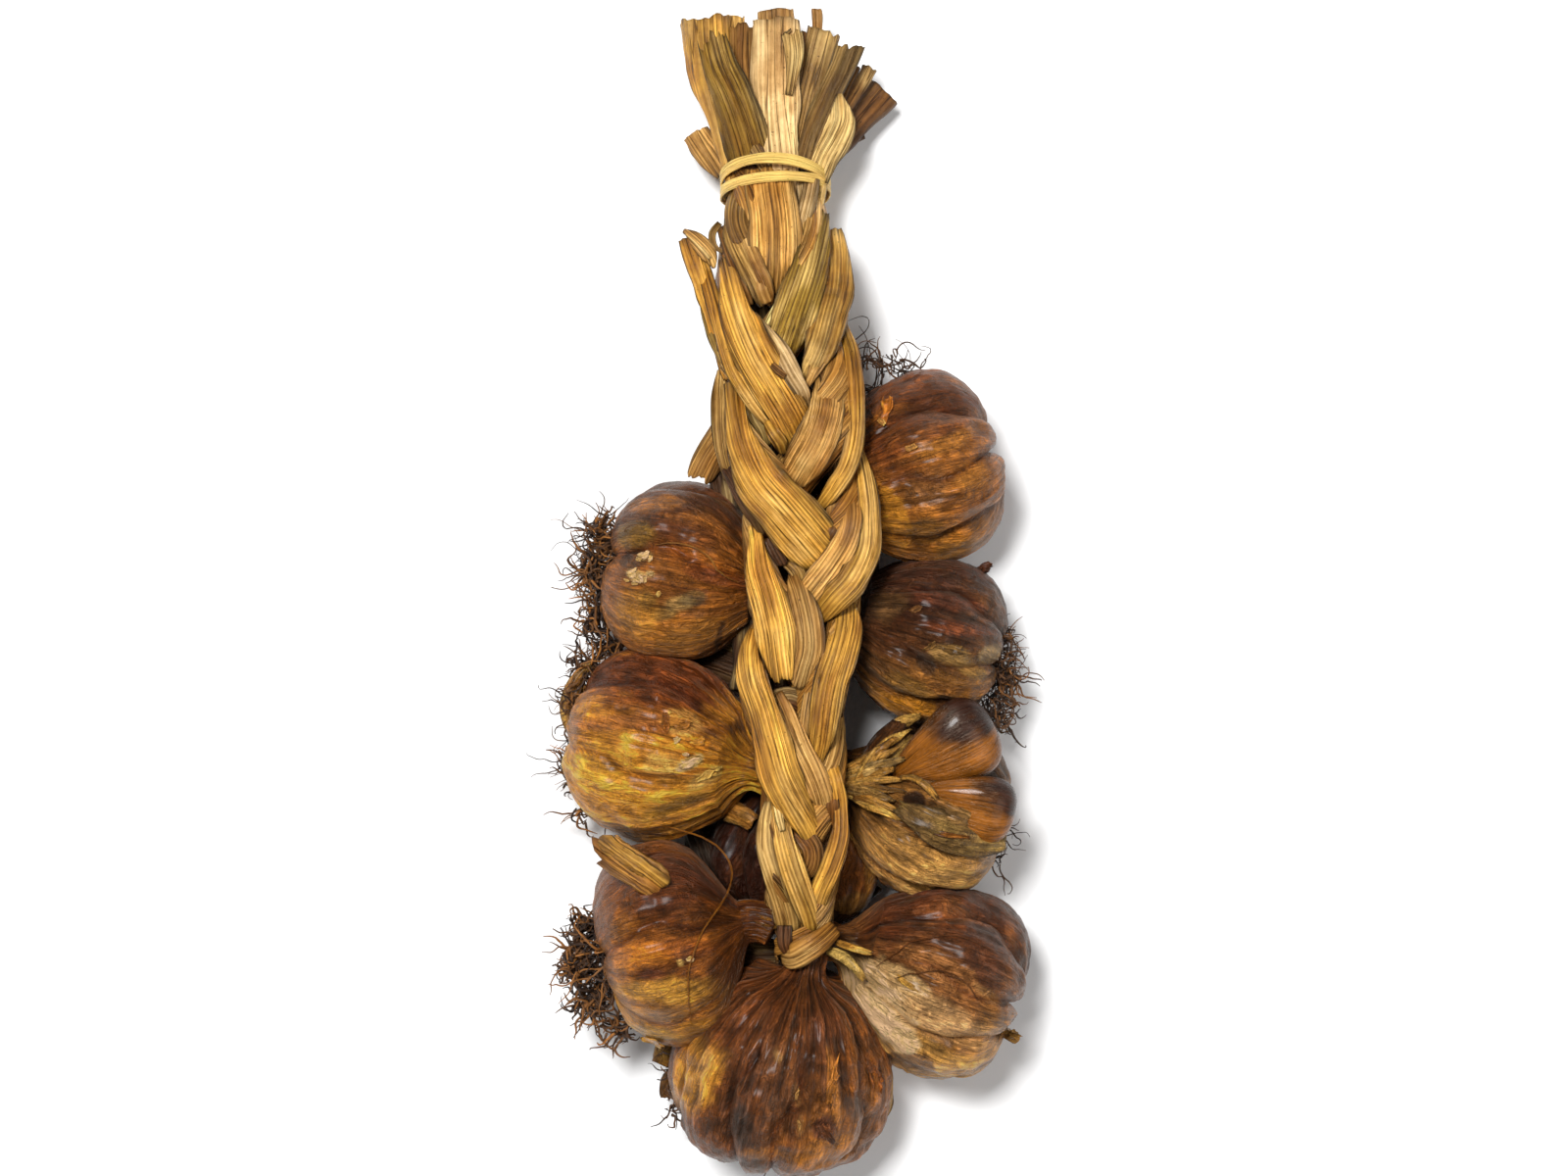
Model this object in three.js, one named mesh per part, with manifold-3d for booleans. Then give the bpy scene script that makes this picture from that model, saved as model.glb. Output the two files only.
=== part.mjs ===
// A braid of smoked garlic, lying on its back. Lengths are in millimetres.
//
// +Y runs up the braid, from the lowest bulb to the cut leaf ends, +X is to the right of someone who looks at
// its front, and +Z points up, away from the surface that it lies on. The origin is at the middle of the
// footprint, on that surface.
//
// Three strands of dried leaves are plaited from a knot at the foot to a raffia tie near the head, where they
// fan out into cut stalks. Every bulb is one solid with its own neck, which bends in to the plait. Each piece
// is carved back from the pieces placed before it, so that neighbours meet with a small gap.
import * as THREE from "three";
import { mergeVertices } from "three/addons/utils/BufferGeometryUtils.js";
import Module from "manifold-3d";

const GAP = 0.4; // left between two pieces that touch
const FLOOR_DEPTH = 40; // of the block that trims flat resting spots at z = 0
const FLOOR_SIDE = 600;
const KNOT_Y = -103; // foot of the plait
const CUT_Y = 126; // where the plaited strands end and the loose stalks begin
const PLAIT_PITCH = 108; // length in which a strand comes back to the same place
const SLACK_PITCH = 200; // the same near the head, where the plait loosens
const SLACK_Y = 85; // where the plait starts to loosen

const BULB_SIDES = 18;
const STRAND_SIDES = 8;
const STRAND_STEPS = 30;
const STALK_SIDES = 7;

const wasm = await Module();
wasm.setup();

const vec = (x, y, z) => new THREE.Vector3(x, y, z);
const UP = vec(0, 0, 1);

// ---- Materials ----

const MATERIALS = {
  bulb_skin: { color: 0x7a4a22, roughness: 0.45 },
  bare_clove: { color: 0x8f5526, roughness: 0.3 },
  dry_leaf: { color: 0xb98a45, roughness: 0.6 },
  cut_stalk: { color: 0xa58653, roughness: 0.65 },
  raffia: { color: 0xd9b066, roughness: 0.5 },
  root_hair: { color: 0x3a2415, roughness: 0.85 },
};
for (const [name, look] of Object.entries(MATERIALS)) {
  MATERIALS[name] = new THREE.MeshStandardMaterial({ name, metalness: 0, ...look });
}

// ---- Closed surfaces ----

const middleOf = (points) => points.reduce((sum, p) => sum.add(p), vec(0, 0, 0)).divideScalar(points.length);

/**
 * Closed geometry through rings of equal size. Each ring runs anticlockwise seen from the next one, and the
 * two end rings are moved outwards by grow.
 */
function loft(rings, grow = 0) {
  const sides = rings[0].length;
  const ends = [rings[0], rings.at(-1)];
  const inner = [rings[1], rings.at(-2)].map(middleOf);
  ends.forEach((ring, i) => {
    const outwards = middleOf(ring).sub(inner[i]).setLength(grow);
    for (const point of ring) point.add(outwards);
  });
  const points = [...rings.flat(), ...ends.map(middleOf)];
  const first = rings.length * sides;
  const faces = [];
  for (let i = 0; i < rings.length - 1; i++) {
    for (let j = 0; j < sides; j++) {
      const a = i * sides + j;
      const b = i * sides + ((j + 1) % sides);
      const [c, d] = [b + sides, a + sides];
      const cutFromA = points[a].distanceTo(points[c]) < points[b].distanceTo(points[d]);
      faces.push(...(cutFromA ? [a, b, c, a, c, d] : [a, b, d, b, c, d]));
    }
  }
  for (let j = 0; j < sides; j++) {
    const next = (j + 1) % sides;
    faces.push(first, next, j);
    faces.push(first + 1, first - sides + j, first - sides + next);
  }
  const geometry = new THREE.BufferGeometry().setFromPoints(points);
  geometry.setIndex(faces);
  return geometry;
}

/** One ring round a centre. The half sizes lie along two unit vectors, and bulge(angle) swells it. */
function ring(centre, across, out, halfWidth, halfThickness, sides, bulge = () => 1) {
  const points = [];
  for (let j = 0; j < sides; j++) {
    const angle = (2 * Math.PI * j) / sides;
    const swell = bulge(angle);
    points.push(
      centre
        .clone()
        .addScaledVector(across, swell * halfWidth * Math.cos(angle))
        .addScaledVector(out, swell * halfThickness * Math.sin(angle)),
    );
  }
  return points;
}

/** The two axes of a section across a direction, with the second as near as can be to straight up. */
function sectionAxes(direction) {
  const across = UP.clone().cross(direction).normalize();
  return [across, direction.clone().cross(across).normalize()];
}

/** A tapered tube along a curve. sizes(t) gives [half width, half thickness] at each share of its length. */
function tube(curve, sizes, steps, sides, grow) {
  const rings = [];
  for (let i = 0; i <= steps; i++) {
    const t = i / steps;
    const [across, out] = sectionAxes(curve.getTangent(t));
    const [halfWidth, halfThickness] = sizes(t);
    rings.push(ring(curve.getPoint(t), across, out, halfWidth + grow, halfThickness + grow, sides));
  }
  return loft(rings, grow);
}

/** A closed flat band round an ellipse in the XZ plane. height(angle) is its middle line's Y. */
function band(centreX, centreZ, halfWidth, halfDepth, width, thickness, height, sides = 18) {
  const corners = [
    [0, -0.5],
    [1, -0.5],
    [1, 0.5],
    [0, 0.5],
  ];
  const points = [];
  const faces = [];
  for (let i = 0; i < sides; i++) {
    const angle = (2 * Math.PI * i) / sides;
    for (const [outwards, along] of corners) {
      points.push(
        vec(
          centreX + (halfWidth + outwards * thickness) * Math.cos(angle),
          height(angle) + along * width,
          centreZ + (halfDepth + outwards * thickness) * Math.sin(angle),
        ),
      );
    }
    for (let k = 0; k < 4; k++) {
      const a = i * 4 + k;
      const b = i * 4 + ((k + 1) % 4);
      const c = (a + 4) % (sides * 4);
      const d = (b + 4) % (sides * 4);
      faces.push(a, b, d, a, d, c);
    }
  }
  const geometry = new THREE.BufferGeometry().setFromPoints(points);
  geometry.setIndex(faces);
  return geometry;
}

// ---- Solids, and the carving of one piece by another ----

function solidOf(geometry) {
  const merged = mergeVertices(geometry.deleteAttribute("normal").deleteAttribute("uv"), 1e-4);
  return new wasm.Manifold(
    new wasm.Mesh({
      numProp: 3,
      vertProperties: merged.attributes.position.array,
      triVerts: new Uint32Array(merged.index.array),
    }),
  );
}

function geometryOf(solid) {
  const mesh = solid.getMesh();
  const geometry = new THREE.BufferGeometry();
  geometry.setAttribute("position", new THREE.BufferAttribute(mesh.vertProperties, 3));
  geometry.setIndex(new THREE.BufferAttribute(mesh.triVerts, 1));
  const faceted = geometry.toNonIndexed();
  faceted.computeVertexNormals();
  return faceted;
}

function largestOf(solid) {
  return solid.decompose().reduce((best, one) => (one.volume() > best.volume() ? one : best));
}

const floorBlock = solidOf(
  new THREE.BoxGeometry(FLOOR_SIDE, FLOOR_SIDE, FLOOR_DEPTH).translate(0, 0, -FLOOR_DEPTH / 2),
);

const braid = new THREE.Group();
braid.name = "garlic_braid";
const placed = []; // the grown forms of the pieces so far

/** Adds a piece. build(grow) returns its geometry with every half size enlarged by grow. */
function addPiece(name, material, build) {
  let solid = solidOf(build(0)).subtract(floorBlock);
  for (const other of placed) solid = solid.subtract(other);
  const mesh = new THREE.Mesh(geometryOf(largestOf(solid)), MATERIALS[material]);
  mesh.name = name;
  braid.add(mesh);
  placed.push(solidOf(build(GAP)));
}

// ---- The plait ----

// Down its length: y, then the middle line's x and z, how far a strand sways to each side and how far it rises
// and falls, and a strand's half width and half thickness.
const PLAIT = [
  [-104, 5.6, 41, 3.2, 2.4, 3.8, 2.8],
  [-84, 3.6, 44, 7.5, 4.5, 5.0, 3.6],
  [-56, 4.8, 45.5, 8.3, 5.0, 5.5, 3.8],
  [-28, 2.0, 46, 11.0, 5.5, 6.5, 4.2],
  [0, 5.5, 46, 12.5, 6.0, 7.0, 4.5],
  [41, 3.0, 46, 15.5, 6.5, 8.0, 4.6],
  [69, -2.0, 42, 14.5, 6.5, 8.0, 4.6],
  [97, -3.0, 29, 12.0, 6.0, 7.5, 4.6],
  [117, -3.0, 20, 8.0, 5.2, 6.6, 4.6],
  [130, -3.0, 17, 8.0, 5.2, 6.6, 4.6],
];

/** The plait's values at a height, on a smooth curve through the stations. */
function plaitAt(y) {
  const last = PLAIT.length - 2;
  const i = Math.min(last, Math.max(0, PLAIT.findIndex((row) => row[0] > y) - 1));
  const rows = [PLAIT[Math.max(0, i - 1)], PLAIT[i], PLAIT[i + 1], PLAIT[Math.min(last + 1, i + 2)]];
  const span = rows[2][0] - rows[1][0];
  const t = (y - rows[1][0]) / span;
  const column = (k) => {
    const startSlope = ((rows[2][k] - rows[0][k]) / (rows[2][0] - rows[0][0])) * span;
    const endSlope = ((rows[3][k] - rows[1][k]) / (rows[3][0] - rows[1][0])) * span;
    return (
      rows[1][k] * (1 + t * t * (2 * t - 3)) +
      startSlope * t * (1 - t) * (1 - t) +
      rows[2][k] * t * t * (3 - 2 * t) -
      endSlope * t * t * (1 - t)
    );
  };
  const [x, z, sway, heave, halfWidth, halfThickness] = [1, 2, 3, 4, 5, 6].map(column);
  return { x, z, sway, heave, halfWidth, halfThickness };
}

/** How far round its path a strand is at a height. Lead is the height where it is first at the right edge. */
function strandPhase(y, lead) {
  const below = Math.min(y, SLACK_Y);
  const above = Math.max(y, SLACK_Y) - SLACK_Y;
  return Math.PI * (0.5 + (2 * (lead - below)) / PLAIT_PITCH - (2 * above) / SLACK_PITCH);
}

function strandPoint(y, lead) {
  const { x, z, sway, heave } = plaitAt(y);
  const phase = strandPhase(y, lead);
  return vec(x + sway * Math.sin(phase), y, z - heave * Math.sin(2 * phase));
}

/** A strand from the knot up to the cut. Its flat side faces out at every bend. */
function strandGeometry(lead, grow) {
  const rings = [];
  const step = (CUT_Y - KNOT_Y) / STRAND_STEPS;
  for (let i = 0; i <= STRAND_STEPS; i++) {
    const y = KNOT_Y + i * step;
    const { sway, heave, halfWidth, halfThickness } = plaitAt(y);
    const phase = strandPhase(y, lead);
    const way = strandPoint(y + 1, lead).sub(strandPoint(y - 1, lead)).normalize();
    const faceOut = vec(2 * heave * Math.cos(2 * phase), 0, sway * Math.cos(phase));
    const across = faceOut.cross(way).normalize();
    const out = way.clone().cross(across);
    rings.push(
      ring(strandPoint(y, lead), across, out, halfWidth + grow, halfThickness + grow, STRAND_SIDES),
    );
  }
  return loft(rings, grow);
}

const STRAND_LEADS = { a: 97, b: 25, c: 61 };
for (const [name, lead] of Object.entries(STRAND_LEADS)) {
  addPiece(`strand_${name}`, "dry_leaf", (grow) => strandGeometry(lead, grow));
}

// ---- The raffia tie and the leaf wrapped round the foot ----

const TIE_HEIGHT = 116;
const TIE_HALVES = [15, 11.5];
const TIE_WIDTH = 2.5;
const TIE_THICKNESS = 0.9;

/** Two turns of flat raffia that cross at the right-hand side. */
function tieGeometry(grow) {
  const { x, z } = plaitAt(TIE_HEIGHT);
  const [halfWidth, halfDepth] = TIE_HALVES.map((half) => half - grow);
  const turns = [
    (angle) => TIE_HEIGHT + 6.5 * Math.sin(angle) - 0.8 * Math.cos(angle),
    (angle) => TIE_HEIGHT - 2.1 + 3.4 * Math.sin(angle) + 0.8 * Math.cos(angle),
  ].map((height) =>
    solidOf(band(x, z, halfWidth, halfDepth, TIE_WIDTH + 2 * grow, TIE_THICKNESS + 2 * grow, height)),
  );
  return geometryOf(turns[0].add(turns[1]));
}
addPiece("raffia_tie", "raffia", tieGeometry);

const WRAP_HEIGHT = -98.5;
const WRAP_HALVES = [9.6, 7];
const WRAP_WIDTH = 6.5;
const WRAP_THICKNESS = 1.2;
const WRAP_SIDES = 20;

/** A strip of leaf, wound aslant round the three strands where they come together. */
function wrapGeometry(grow) {
  const { x, z } = plaitAt(WRAP_HEIGHT);
  const [halfWidth, halfDepth] = WRAP_HALVES.map((half) => half - grow);
  const height = (angle) => WRAP_HEIGHT + 4.5 * Math.cos(angle);
  const [width, thickness] = [WRAP_WIDTH + 2 * grow, WRAP_THICKNESS + 2 * grow];
  return band(x, z, halfWidth, halfDepth, width, thickness, height, WRAP_SIDES);
}
addPiece("foot_wrap", "dry_leaf", wrapGeometry);

// ---- Cut stalks above the tie ----

// Each stalk's foot offset from the plait's middle and its tip, then its half widths at foot and tip and its
// half thickness.
const STALKS = [
  { foot: [-10.5, 3.5], tip: [-24.5, 162, 20.5], halfWidths: [3.2, 7.0], halfThickness: 2.2 },
  { foot: [-5.0, 7.6], tip: [-21.0, 157, 27.5], halfWidths: [5.6, 4.6], halfThickness: 1.5 },
  { foot: [-6.5, 0.5], tip: [-12.5, 163, 17.5], halfWidths: [3.0, 4.0], halfThickness: 1.8 },
  { foot: [0.6, 7.2], tip: [-2.6, 164.5, 24.5], halfWidths: [5.0, 6.2], halfThickness: 2.4 },
  { foot: [1.0, 1.5], tip: [4.0, 158, 16.5], halfWidths: [2.2, 3.0], halfThickness: 1.8 },
  { foot: [4.6, 2.8], tip: [11.5, 159.5, 20.5], halfWidths: [3.0, 5.0], halfThickness: 2.0 },
  { foot: [7.6, 6.8], tip: [20.0, 153.5, 24.5], halfWidths: [3.0, 4.4], halfThickness: 1.9 },
  { foot: [6.0, -2.5], tip: [23.0, 150, 15.5], halfWidths: [2.4, 3.4], halfThickness: 1.6 },
  { foot: [9.8, -0.6], tip: [27.5, 145, 11.5], halfWidths: [2.6, 3.8], halfThickness: 1.8 },
  { foot: [10.4, 5.2], tip: [17.5, 139.5, 26.5], halfWidths: [3.6, 5.4], halfThickness: 1.4 },
  { foot: [-11.2, -1.8], tip: [-23.5, 132.5, 11.5], halfWidths: [2.8, 4.2], halfThickness: 1.8 },
  { foot: [-4.0, -5.6], tip: [-13.0, 156, 5.5], halfWidths: [4.0, 5.0], halfThickness: 2.0 },
  { foot: [3.0, -6.4], tip: [8.0, 152, 3], halfWidths: [4.0, 5.0], halfThickness: 2.0 },
];
const STALK_BOW = 2.5; // how far a stalk bows outwards at its middle

function stalkGeometry({ foot, tip, halfWidths, halfThickness }, grow) {
  const middle = plaitAt(CUT_Y);
  const start = vec(middle.x + foot[0], CUT_Y + GAP, middle.z + foot[1]);
  const end = vec(...tip);
  const bend = start.clone().lerp(end, 0.45);
  bend.x -= Math.sign(foot[0]) * STALK_BOW;
  const curve = new THREE.QuadraticBezierCurve3(start, bend, end);
  const [footWidth, tipWidth] = halfWidths;
  const sizes = (t) => [footWidth + (tipWidth - footWidth) * t, halfThickness * (1 - 0.25 * t)];
  return tube(curve, sizes, 4, STALK_SIDES, grow);
}
STALKS.forEach((stalk, i) => {
  const name = `stalk_${String(i + 1).padStart(2, "0")}`;
  addPiece(name, "cut_stalk", (grow) => stalkGeometry(stalk, grow));
});

// ---- Loose leaf ends beside the plait ----

const LOOSE_LEAVES = {
  folded_leaf: {
    path: [vec(-28, 100, 38), vec(-25.5, 90, 41), vec(-22, 80, 43), vec(-18.5, 70, 47)],
    sizes: (t) => [3.4 - 1.2 * t, 0.8],
  },
  side_leaf: {
    path: [vec(-17, 48, 36), vec(-22, 38, 31), vec(-27, 28, 29)],
    sizes: (t) => [4.6 - 1.4 * t, 0.8],
  },
  stem_stub: {
    path: [vec(-32, -86, 66.5), vec(-42, -80, 66), vec(-55, -71, 58)],
    sizes: (t) => [3.6 + 1.8 * t, 2.4],
  },
};

function looseLeafGeometry({ path, sizes }, grow) {
  return tube(new THREE.CatmullRomCurve3(path), sizes, 5, STALK_SIDES, grow);
}

// ---- Bulbs ----

// Share of the body's height above the root plate, and share of its radius there.
const BODY_PROFILE = [
  [0, 0.36],
  [0.08, 0.72],
  [0.27, 0.97],
  [0.5, 1],
  [0.76, 0.76],
  [1, 0.36],
];
const NECK_STEPS = 2;
const LOBE_GAIN = 2.4; // times a bulb's depth, how deep its lobes are at the root plate

// middle is the body's centre, axis points from the root plate to the neck, and neck is where the neck ends.
const BULBS = {
  bulb_bottom: {
    middle: [-1.2, -138, 30.2], axis: [0.2, 0.9, 0.36], radius: 30.5, height: 52,
    neck: [6.5, -104, 41], neckRadius: 4.6, lobes: 6, turn: 0.3, depth: 0.07,
  },
  bulb_right_1: {
    middle: [38, 33.5, 25.8], axis: [-0.94, -0.26, 0.12], radius: 26, height: 43,
    neck: [8, 20, 38], neckRadius: 4.6, lobes: 5, turn: 0.2, depth: 0.09,
  },
  bulb_right_2: {
    middle: [40, -15, 23.3], axis: [-0.95, 0.28, 0.12], radius: 23.5, height: 41,
    neck: [9, -6, 37], neckRadius: 4.4, lobes: 5, turn: 0.9, depth: 0.05,
  },
  bulb_right_3: {
    middle: [42, -63.5, 25.3], axis: [-0.93, 0.33, 0.1], radius: 25.5, height: 40,
    neck: [9, -52, 38], neckRadius: 4.8, lobes: 5, turn: 0.5, depth: 0.1,
  },
  bulb_right_4: {
    middle: [42.8, -112.8, 27.3], axis: [-0.92, 0.36, 0.12], radius: 27.5, height: 45,
    neck: [11, -101, 38], neckRadius: 4.6, lobes: 6, turn: 0, depth: 0.07,
  },
  bulb_left_1: {
    middle: [-28.8, 3.2, 25.8], axis: [0.97, -0.18, 0.14], radius: 26, height: 42,
    neck: [-2, -4, 37], neckRadius: 4.6, lobes: 5, turn: 0.35, depth: 0.08,
  },
  bulb_left_2: {
    middle: [-36.6, -46, 26.3], axis: [0.93, -0.2, 0.3], radius: 26.5, height: 47,
    neck: [-3, -54, 41], neckRadius: 4.8, lobes: 5, turn: 0.7, depth: 0.05,
  },
  bulb_left_3: {
    middle: [-29, -101, 37], axis: [0.94, 0.3, 0.05], radius: 28.5, height: 42,
    neck: [-3, -97.5, 39], neckRadius: 4.8, lobes: 6, turn: 0.1, depth: 0.06,
  },
  bulb_back_top: {
    middle: [9, 42, 17.8], axis: [-0.6, -0.74, 0.3], radius: 19, height: 33,
    neck: [-3, 20, 31], neckRadius: 4, lobes: 5, turn: 0, depth: 0.06,
  },
  bulb_back_middle: {
    middle: [3, -77, 17], axis: [0.1, 0.97, 0.2], radius: 21.5, height: 37,
    neck: [3, -48, 33], neckRadius: 4.2, lobes: 4, turn: 0.6, depth: 0.1, flat: 0.8,
  },
  bulb_back_left: {
    middle: [-43.5, -88.5, 11.9], axis: [0.95, -0.2, -0.05], radius: 12.5, height: 20,
    neck: [-22, -92, 8], neckRadius: 3.4, lobes: 3, turn: 0.4, depth: 0.06, flat: 0.95,
  },
};

function bulbGeometry(bulb, grow) {
  const { middle, axis, radius, height, neck, neckRadius, lobes, turn, depth, flat = 1 } = bulb;
  const direction = vec(...axis).normalize();
  const rootPlate = vec(...middle).addScaledVector(direction, -height / 2);
  const [across, out] = sectionAxes(direction);
  const rings = [];
  for (const [share, size] of BODY_PROFILE) {
    const centre = rootPlate.clone().addScaledVector(direction, share * height);
    const strength = LOBE_GAIN * depth * (1 - share);
    const bulge = (angle) => 1 + strength * (Math.abs(Math.cos((lobes * angle) / 2 + turn * Math.PI)) - 0.6);
    const half = size * radius + grow;
    rings.push(ring(centre, across, out, half, half * flat, BULB_SIDES, bulge));
  }
  const shoulder = rootPlate.clone().addScaledVector(direction, height);
  const end = vec(...neck);
  const bend = shoulder.clone().addScaledVector(direction, 0.5 * shoulder.distanceTo(end));
  const curve = new THREE.QuadraticBezierCurve3(shoulder, bend, end);
  const startHalf = BODY_PROFILE.at(-1)[1] * radius;
  for (let i = 1; i <= NECK_STEPS; i++) {
    const t = i / NECK_STEPS;
    const half = startHalf + (neckRadius - startHalf) * Math.min(1, 1.6 * t) + grow;
    const [neckAcross, neckOut] = sectionAxes(curve.getTangent(t));
    rings.push(ring(curve.getPoint(t), neckAcross, neckOut, half, half * 0.85, BULB_SIDES));
  }
  return loft(rings, grow);
}

// Two cloves that show where a bulb's skin has torn: middle, long axis, and half sizes.
const BARE_CLOVES = {
  bare_clove_upper: { middle: [43, -48.5, 39.5], axis: [0.9, 0.42, -0.05], halves: [15.5, 10, 9] },
  bare_clove_lower: { middle: [51, -63.5, 43], axis: [0.95, -0.3, -0.1], halves: [13, 9, 8.5] },
};
const CLOVE_STEPS = 6;
const CLOVE_SIDES = 10;

/** A crescent-backed clove: a spindle, fullest past its middle and pointed at its neck end. */
function cloveGeometry({ middle, axis, halves }, grow) {
  const direction = vec(...axis).normalize();
  const [across, out] = sectionAxes(direction);
  const rings = [];
  for (let i = 0; i <= CLOVE_STEPS; i++) {
    const t = i / CLOVE_STEPS;
    const centre = vec(...middle).addScaledVector(direction, (2 * t - 1) * (halves[0] + grow));
    const full = Math.max(0.12, Math.sin(Math.PI * t ** 1.25) ** 0.75);
    rings.push(ring(centre, across, out, halves[1] * full + grow, halves[2] * full + grow, CLOVE_SIDES));
  }
  return loft(rings, grow);
}

for (const [name, clove] of Object.entries(BARE_CLOVES)) {
  addPiece(name, "bare_clove", (grow) => cloveGeometry(clove, grow));
}
for (const [name, bulb] of Object.entries(BULBS)) {
  addPiece(name, "bulb_skin", (grow) => bulbGeometry(bulb, grow));
}
for (const [name, leaf] of Object.entries(LOOSE_LEAVES)) {
  addPiece(name, "dry_leaf", (grow) => looseLeafGeometry(leaf, grow));
}

// ---- Root tufts ----

// Each tuft spreads from its bulb's root plate: half width, length, and a lean added to its direction.
const ROOT_TUFTS = {
  roots_left_1: { bulb: "bulb_left_1", spread: 15, length: 12, lean: [0, -0.25, 0] },
  roots_left_2: { bulb: "bulb_left_2", spread: 17, length: 8, lean: [0, 0.15, -0.1] },
  roots_left_3: { bulb: "bulb_left_3", spread: 14, length: 15, lean: [0, -0.1, 0.1] },
  roots_right_2: { bulb: "bulb_right_2", spread: 13, length: 9, lean: [0, -0.2, 0] },
  roots_right_3: { bulb: "bulb_right_3", spread: 9, length: 5, lean: [0, -0.3, -0.3] },
  roots_bottom: { bulb: "bulb_bottom", spread: 11, length: 4, lean: [-0.9, 0.2, -0.3] },
  roots_back_top: { bulb: "bulb_back_top", spread: 10, length: 15, lean: [0.1, 0.1, 0.1] },
};
const TUFT_STEPS = 3;
const TUFT_SIDES = 10;

/** A ragged dome of tangled roots. */
function tuftGeometry({ bulb, spread, length, lean }, grow) {
  const { middle, axis, height } = BULBS[bulb];
  const direction = vec(...axis).normalize().negate();
  const plate = vec(...middle).addScaledVector(direction, height / 2 + GAP);
  const way = direction.clone().add(vec(...lean)).normalize();
  const [across, out] = sectionAxes(way);
  const rings = [];
  for (let i = 0; i <= TUFT_STEPS; i++) {
    const t = i / TUFT_STEPS;
    const centre = plate.clone().addScaledVector(way, t * length - 1);
    const half = spread * Math.sqrt(1 - (0.9 * t) ** 2) * (0.6 + 0.4 * Math.min(1, 3 * t)) + grow;
    const ragged = (angle) => 1 + 0.1 * Math.sin(3 * angle + 2 * i) + 0.07 * Math.cos(5 * angle - i);
    rings.push(ring(centre, across, out, half, half * 0.8, TUFT_SIDES, ragged));
  }
  return loft(rings, grow);
}
for (const [name, tuft] of Object.entries(ROOT_TUFTS)) {
  addPiece(name, "root_hair", (grow) => tuftGeometry(tuft, grow));
}

// Brings the middle of the footprint to the origin.
braid.position.set(-0.5, 3.2, 0);

export default braid;
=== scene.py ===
"""Looks of a braid of smoked garlic that lies on its back, seen from straight above.

Everything is worked out in millimetres, in the frame of the CAD solids before their shift to the middle of
the footprint, and becomes metres when a piece is made. Each piece is a mesh of smooth patches. Every point
carries a grain coordinate (across the fibres, along them, and one number for each leaf or bulb) and a tint,
and the materials read both.
"""

import bpy
import numpy as np
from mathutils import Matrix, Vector


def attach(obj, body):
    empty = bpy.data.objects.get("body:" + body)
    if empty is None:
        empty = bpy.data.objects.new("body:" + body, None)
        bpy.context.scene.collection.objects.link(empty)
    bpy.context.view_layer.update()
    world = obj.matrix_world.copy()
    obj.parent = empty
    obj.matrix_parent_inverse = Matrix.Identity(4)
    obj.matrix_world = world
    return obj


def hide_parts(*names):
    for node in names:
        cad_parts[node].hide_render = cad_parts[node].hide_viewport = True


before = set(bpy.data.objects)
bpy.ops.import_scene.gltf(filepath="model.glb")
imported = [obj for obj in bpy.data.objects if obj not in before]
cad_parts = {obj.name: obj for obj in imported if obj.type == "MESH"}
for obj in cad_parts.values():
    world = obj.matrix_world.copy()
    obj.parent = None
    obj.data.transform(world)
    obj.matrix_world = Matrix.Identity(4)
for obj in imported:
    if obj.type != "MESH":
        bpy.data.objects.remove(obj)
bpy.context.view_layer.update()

MM = 0.001
SHIFT = np.array([-0.5, 3.2, 0.0])  # brings the middle of the footprint to the origin
UP = np.array([0.0, 0.0, 1.0])
FLOOR_CLEARANCE = 0.05


def vec(*values):
    return np.array(values, dtype=float)


def unit(v):
    """Directions of length 1."""
    return v / np.maximum(np.linalg.norm(v, axis=-1, keepdims=True), 1e-9)


def rgb(red, green, blue):
    """A colour given from 0 to 255 as seen on a screen, in linear light."""
    c = vec(red, green, blue) / 255
    return np.where(c <= 0.04045, c / 12.92, ((c + 0.055) / 1.055) ** 2.4)


def smooth(low, high, x):
    """0 where x is at low and 1 where it is at high, eased at both ends."""
    t = np.clip((x - low) / (high - low), 0, 1)
    return t * t * (3 - 2 * t)


def blend(a, b, share):
    """From colour or point a to b, where share may be an array."""
    share = np.asarray(share)[..., None]
    return a * (1 - share) + b * share


# ---- Noise ----


def lattice(x, y, z, seed):
    """A repeatable random number from -1 to 1 for every whole-numbered point."""
    h = (x * 374761393 + y * 668265263 + z * 1440662683 + seed * 974634777) & 0xFFFFFFFF
    h = ((h ^ (h >> 13)) * 1274126177) & 0xFFFFFFFF
    return ((h ^ (h >> 16)) & 0xFFFF) / 32767.5 - 1


def noise(x, y, z, seed=0):
    """Smooth noise from -1 to 1."""
    x, y, z = np.broadcast_arrays(x, y, z)
    cells = [np.floor(c).astype(np.int64) for c in (x, y, z)]
    eased = [smooth(0, 1, c - cell) for c, cell in zip((x, y, z), cells)]
    total = 0.0
    for corner in range(8):
        step = [corner & 1, corner >> 1 & 1, corner >> 2]
        weight = 1.0
        for ease, up in zip(eased, step):
            weight = weight * (ease if up else 1 - ease)
        total = total + weight * lattice(*(cell + up for cell, up in zip(cells, step)), seed)
    return total


def fbm(x, y, z=0.0, seed=0, octaves=3):
    """Noise with finer and weaker copies of itself added."""
    total = 0.0
    for k in range(octaves):
        total = total + 0.5**k * noise(x * 2**k, y * 2**k, z * 2**k, seed + 17 * k)
    return total / (2 - 0.5 ** (octaves - 1))


def fbm_at(p, size, seed, octaves):
    """The same at points in space, with features of about the given size."""
    return fbm(*np.moveaxis(p / size, -1, 0), seed, octaves)


# ---- Curves and patches ----


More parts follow.
